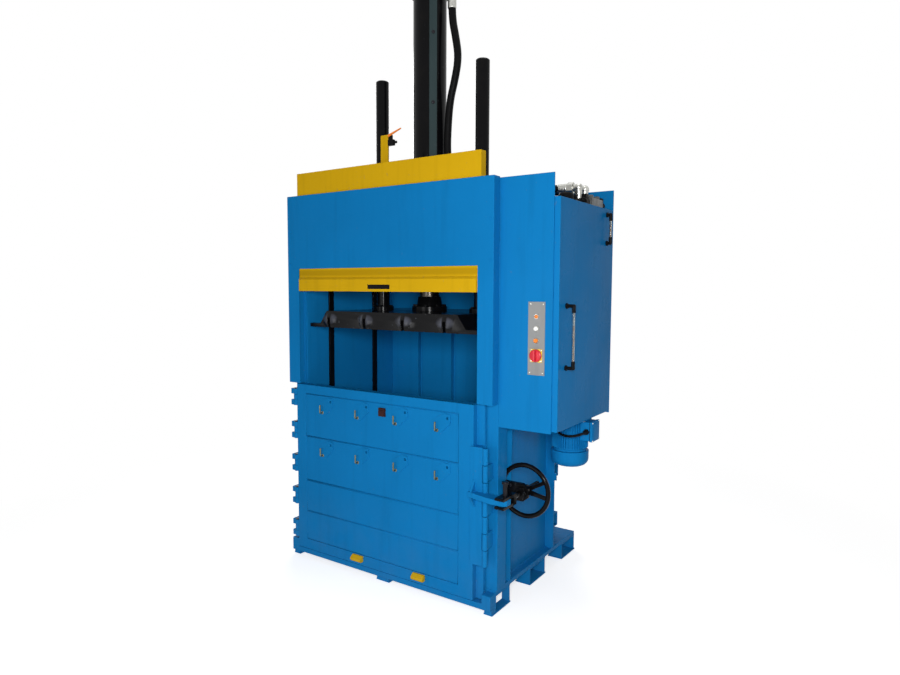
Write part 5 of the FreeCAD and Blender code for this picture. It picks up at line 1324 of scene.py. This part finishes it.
class BALER_OT_fasteners(bpy.types.Operator):
    """Set the bolts and screws."""
    bl_idname = "baler.fasteners"
    bl_label = "Bolts and screws"

    def execute(self, context):
        sizes = context.scene.baler_sizes
        bolts, screws = hex_bolt_recipe(), dome_screw_recipe()
        self.heads(bolts, "header_bolts", self.header(), "frame", "blue_paint",
                   0.011, 0.004)
        self.heads(bolts, "cylinder_bolts", self.cylinder(), "frame", "bright_steel",
                   0.016, 0.010)
        self.heads(bolts, "column_bolts", self.columns(), "platen", "black_paint",
                   sizes.bolt, 0.011)
        self.heads(bolts, "motor_bolts", self.motor(), "frame", "bright_steel",
                   0.014, 0.008)
        self.heads(bolts, "rail_bolts", self.rail_and_bracket(), "frame", "pin_steel",
                   0.013, 0.0055)
        plates = (corner_spots("control_plate", 0.011, 0.012)
                  + corner_spots("switch_backing", 0.006, 0.006))
        self.heads(screws, "panel_screws", plates, "frame", "bright_steel",
                   sizes.screw, 0.0024)
        self.heads(screws, "lid_screws", self.lid(), "frame", "bright_steel",
                   0.009, 0.003)
        return {"FINISHED"}

    def heads(self, recipe, name, spots, body, paint, across, rise):
        """Set a recipe's heads on spots, as one piece."""
        recipe.grow(name, spots_mesh(name + "_spots", spots), body, "bright_steel", paint,
                    across=across, rise=rise)

    def header(self):
        """Beside the feed opening, on the portal's front."""
        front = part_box("portal_frame")[0].y
        return [((x, front, z), AHEAD) for x in (-0.730, 0.730) for z in (2.084, 1.877)]

    def cylinder(self):
        """Round the cylinder's flange and the column bushes."""
        spots = circle_spots((0, PRESS_Y, 2.285), 0.1245, 12, UP, 15)
        for x in (-COLUMN_X, COLUMN_X):
            spots += circle_spots((x, PRESS_Y, 2.270), 0.070, 6, UP, 30)
        return spots

    def columns(self):
        """Round the guide columns' feet on the platen."""
        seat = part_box("guide_columns")[0].z + 0.020
        return [spot for x in (-COLUMN_X, COLUMN_X)
                for spot in circle_spots((x, PRESS_Y, seat), 0.0570, 6, UP)]

    def motor(self):
        """Under the motor's flange, clear of its fins."""
        return circle_spots((0.948, -0.025, 1.004), 0.106, 8, DOWN, 22.5)

    def rail_and_bracket(self):
        """Along the sensor rail, which is turned 45 degrees, and on the lock's bracket."""
        slope = math.sqrt(0.5)
        reach = 0.1205 * slope
        spots = [((reach, PRESS_Y - reach, z), (slope, -slope, 0))
                 for z in (2.410, 2.850, 3.260)]
        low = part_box("lock_bracket")[0]
        return spots + [((low.x + 0.034, low.y, LOCK_AXIS[2] + side), AHEAD)
                        for side in (-0.030, 0.030)]

    def lid(self):
        """In the corners of the terminal box's lid."""
        low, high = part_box("terminal_box")
        return [((high.x - 0.006, y, z), RIGHT) for y in (low.y + 0.007, high.y - 0.007)
                for z in (low.z + 0.007, high.z - 0.007)]


# Weld runs of the right-hand side on the deck, as (x, y): post, side wall and rear corner.
DECK_SEAMS = (
    ((0.7415, -0.409), (0.7415, -0.493), (0.672, -0.493), (0.672, -0.353), (0.744, -0.353)),
    ((0.744, -0.343), (0.699, -0.343), (0.699, 0.198), (0.744, 0.198)),
    ((0.744, 0.210), (0.672, 0.210), (0.672, 0.367), (0.600, 0.367)))
# Upright runs of that side: the node whose top ends the run, x and y.
UPRIGHT_SEAMS = (("front_posts", 0.699, -0.342), ("side_walls", 0.699, 0.197))
LUG_Y = -0.5795                             # the lock leaf's face beside its lug


class BALER_OT_welds(bpy.types.Operator):
    """Run the weld beads along the seams."""
    bl_idname = "baler.welds"
    bl_label = "Weld beads"

    def execute(self, context):
        beads = weld_recipe()
        half = context.scene.baler_sizes.weld
        frame_runs = self.deck_runs() + self.foot_runs() + self.knuckle_runs()
        for name, runs, body, paint, half_width in (
                ("frame_welds", frame_runs, "frame", "blue_paint", half),
                ("door_welds", self.lug_runs(), "door", "blue_paint", half * 0.8),
                ("platen_welds", self.column_runs(), "platen", "black_paint", half)):
            beads.grow(name, paths_mesh(name + "_runs", runs), body, paint, paint,
                       half_width=half_width)
        return {"FINISHED"}

    def deck_runs(self):
        """Round the posts and walls on the deck, and up their corners."""
        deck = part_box("base_deck")[1].z
        runs = []
        for side in (-1, 1):
            for seam in DECK_SEAMS:
                runs.append([(side * x, y, deck) for x, y in seam])
            for node, x, y in UPRIGHT_SEAMS:
                runs.append([(side * x, y, deck), (side * x, y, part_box(node)[1].z)])
        return runs

    def foot_runs(self):
        """Where the feet meet the deck."""
        front, rear, level = -0.5, 0.5425, 0.0995
        runs = []
        for x in (-0.700, 0.0, 0.700):
            for y in (-0.445, 0.0, 0.445):
                corner = x and y < 0
                half = 0.023 if corner else 0.045
                centre = math.copysign(0.722, x) if corner else x
                for end in (-0.100, 0.100):
                    if y + end > front:
                        place = min(y + end, rear)
                        runs.append([(centre - half, place, level),
                                     (centre + half, place, level)])
        return runs

    def knuckle_runs(self):
        """Where the hinge knuckles' arms meet the post."""
        return [[(-0.722, -0.5035, z), (-0.722, -0.5035, z + 0.0343)]
                for i in range(HINGES)
                for z in (0.128 + HINGE_PITCH * i, 0.128 + HINGE_PITCH * i + 0.0717)]

    def lug_runs(self):
        """Along the lock's lug, its gussets and the leaf's edge."""
        low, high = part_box("lock_leaf")
        runs = [[(0.634, LUG_Y, z), (0.699, LUG_Y, z)] for z in (0.646, 0.674)]
        runs += [[(x, LUG_Y, foot), (x, LUG_Y, foot + 0.059)]
                 for foot in (0.586, 0.675) for x in (0.647, 0.659)]
        return runs + [[(0.627, -0.566, low.z + 0.004), (0.627, -0.566, high.z - 0.004)]]

    def column_runs(self):
        """Round the guide columns on their feet."""
        return [[place for place, _ in circle_spots((x, PRESS_Y, 1.6105), 0.0365, 24, UP)]
                + [(x + 0.0365, PRESS_Y, 1.6105)] for x in (-COLUMN_X, COLUMN_X)]


FLOOR_GLOW = 0.62                           # how bright the camera sees the floor
ROOM_LIGHT = 0.13                           # the grey room's own light on things
# Soft square lamps: name, place, what each points at, side in metres, and power in watts.
LAMPS = (
    ("key", (2.55, -3.65, 1.95), (0.2, -0.3, 1.5), 0.8, 122.0),
    ("front", (-0.3, -4.4, 1.25), (0.0, -0.4, 1.4), 1.4, 24.0),
    ("back", (-3.4, 3.6, 3.6), (0.0, 0.3, 1.2), 2.6, 90.0),
    ("top", (0.4, 0.4, 5.8), (0.2, 0.0, 1.0), 2.2, 46.0))
CAMERA_PLACE = (2.4018, -3.4158, 1.7327)
CAMERA_ANGLES = (33.885, 4.344, 0.2245)     # degrees: to the left, downwards, and leaning
LENS, SENSOR = 25.92, 36.0                  # millimetres


class BALER_OT_stage(bpy.types.Operator):
    """Set the floor, the studio lights and the camera."""
    bl_idname = "baler.stage"
    bl_label = "Studio"

    def execute(self, context):
        self.floor(context)
        self.world(context)
        for lamp in LAMPS:
            self.lamp(*lamp)
        self.camera(context)
        context.scene.view_settings.view_transform = "Standard"
        return {"FINISHED"}

    def floor(self, context):
        """A pale floor that fades into the backdrop and keeps the shadow."""
        form = bmesh.new()
        bmesh.ops.create_circle(form, cap_ends=True, segments=96, radius=30.0)
        mesh = closed_mesh(form, "floor")
        put("floor", mesh)
        made = Finish("floor", context.scene.baler_colours.floor, 0.9, specular=0.1)
        made.tint(made.spread(made.noise(1.5, 2.0), 0.4, 0.7, 0.0, 0.3), 0.97)
        seen = made.seen()
        glow = made.node("ShaderNodeEmission")
        made.join(made.maths("MULTIPLY", seen, FLOOR_GLOW), glow.inputs["Strength"])
        lit = made.node("ShaderNodeAddShader")
        made.join(made.shader.outputs[0], lit.inputs[0])
        made.join(glow.outputs[0], lit.inputs[1])
        bright = made.node("ShaderNodeEmission")
        reach = made.node("ShaderNodeVectorMath", operation="LENGTH")
        made.join(made.place, reach.inputs[0])
        far = made.spread(reach.outputs["Value"], 1.6, 3.6)
        fade = made.node("ShaderNodeMixShader")
        made.join(made.maths("MULTIPLY", far, seen), fade.inputs[0])
        made.join(lit.outputs[0], fade.inputs[1])
        made.join(bright.outputs[0], fade.inputs[2])
        made.join(fade.outputs[0], made.tree.nodes["Material Output"].inputs["Surface"])
        mesh.materials.append(made.material)

    def world(self, context):
        """A grey room that the camera and reflections see as white."""
        world = bpy.data.worlds.new("studio")
        context.scene.world = world
        world.use_nodes = True
        room = Wiring(world.node_tree)
        ground = room.tree.nodes["Background"]
        ground.inputs["Color"].default_value = (1, 1, 1, 1)
        room.join(room.spread(room.seen(), 0.0, 1.0, ROOM_LIGHT), ground.inputs["Strength"])

    def lamp(self, name, place, aim, size, power):
        """A soft square lamp that points at a spot."""
        data = bpy.data.lights.new(name, "AREA")
        data.size = size
        data.energy = power
        lamp = put(name, data)
        lamp.location = place
        way = Vector(aim) - Vector(place)
        lamp.rotation_euler = way.to_track_quat("-Z", "Y").to_euler()

    def camera(self, context):
        """A camera at the photograph's place and angle."""
        data = bpy.data.cameras.new("camera")
        data.sensor_width = SENSOR
        data.lens = LENS
        camera = put("camera", data)
        yaw, pitch, roll = (math.radians(angle) for angle in CAMERA_ANGLES)
        ahead = Vector((-math.sin(yaw) * math.cos(pitch), math.cos(yaw) * math.cos(pitch),
                        -math.sin(pitch)))
        right = Vector((math.cos(yaw), math.sin(yaw), 0))
        up = right.cross(ahead)
        across = right * math.cos(roll) + up * math.sin(roll)
        over = up * math.cos(roll) - right * math.sin(roll)
        turn = Matrix((across, over, -ahead)).transposed().to_4x4()
        camera.matrix_world = Matrix.Translation(CAMERA_PLACE) @ turn
        context.scene.camera = camera


OPERATORS = (
    BALER_OT_finishes, BALER_OT_hoses, BALER_OT_frame, BALER_OT_rear_ribs, BALER_OT_door,
    BALER_OT_lock, BALER_OT_gate, BALER_OT_press, BALER_OT_power, BALER_OT_controls,
    BALER_OT_limit_switch, BALER_OT_fasteners, BALER_OT_welds, BALER_OT_stage)


class BALER_PT_panel(bpy.types.Panel):
    """The baler's steps in the order in which they run."""
    bl_idname = "BALER_PT_panel"
    bl_label = "Recycling baler"
    bl_space_type = "VIEW_3D"
    bl_region_type = "UI"
    bl_category = "Baler"

    def draw(self, context):
        for group in (context.scene.baler_sizes, context.scene.baler_colours):
            column = self.layout.column(align=True)
            for key in group.__annotations__:
                column.prop(group, key)
        column = self.layout.column(align=True)
        for operator in OPERATORS:
            column.operator(operator.bl_idname)


CLASSES = (BalerSizes, BalerColours, *OPERATORS, BALER_PT_panel)


def register():
    for cls in CLASSES:
        bpy.utils.register_class(cls)
    bpy.types.Scene.baler_sizes = PointerProperty(type=BalerSizes)
    bpy.types.Scene.baler_colours = PointerProperty(type=BalerColours)


def unregister():
    del bpy.types.Scene.baler_colours
    del bpy.types.Scene.baler_sizes
    for cls in reversed(CLASSES):
        bpy.utils.unregister_class(cls)


def main():
    """Build every piece."""
    register()
    for operator in OPERATORS:
        group, step = operator.bl_idname.split(".")
        getattr(getattr(bpy.ops, group), step)()


if __name__ == "__main__":
    main()
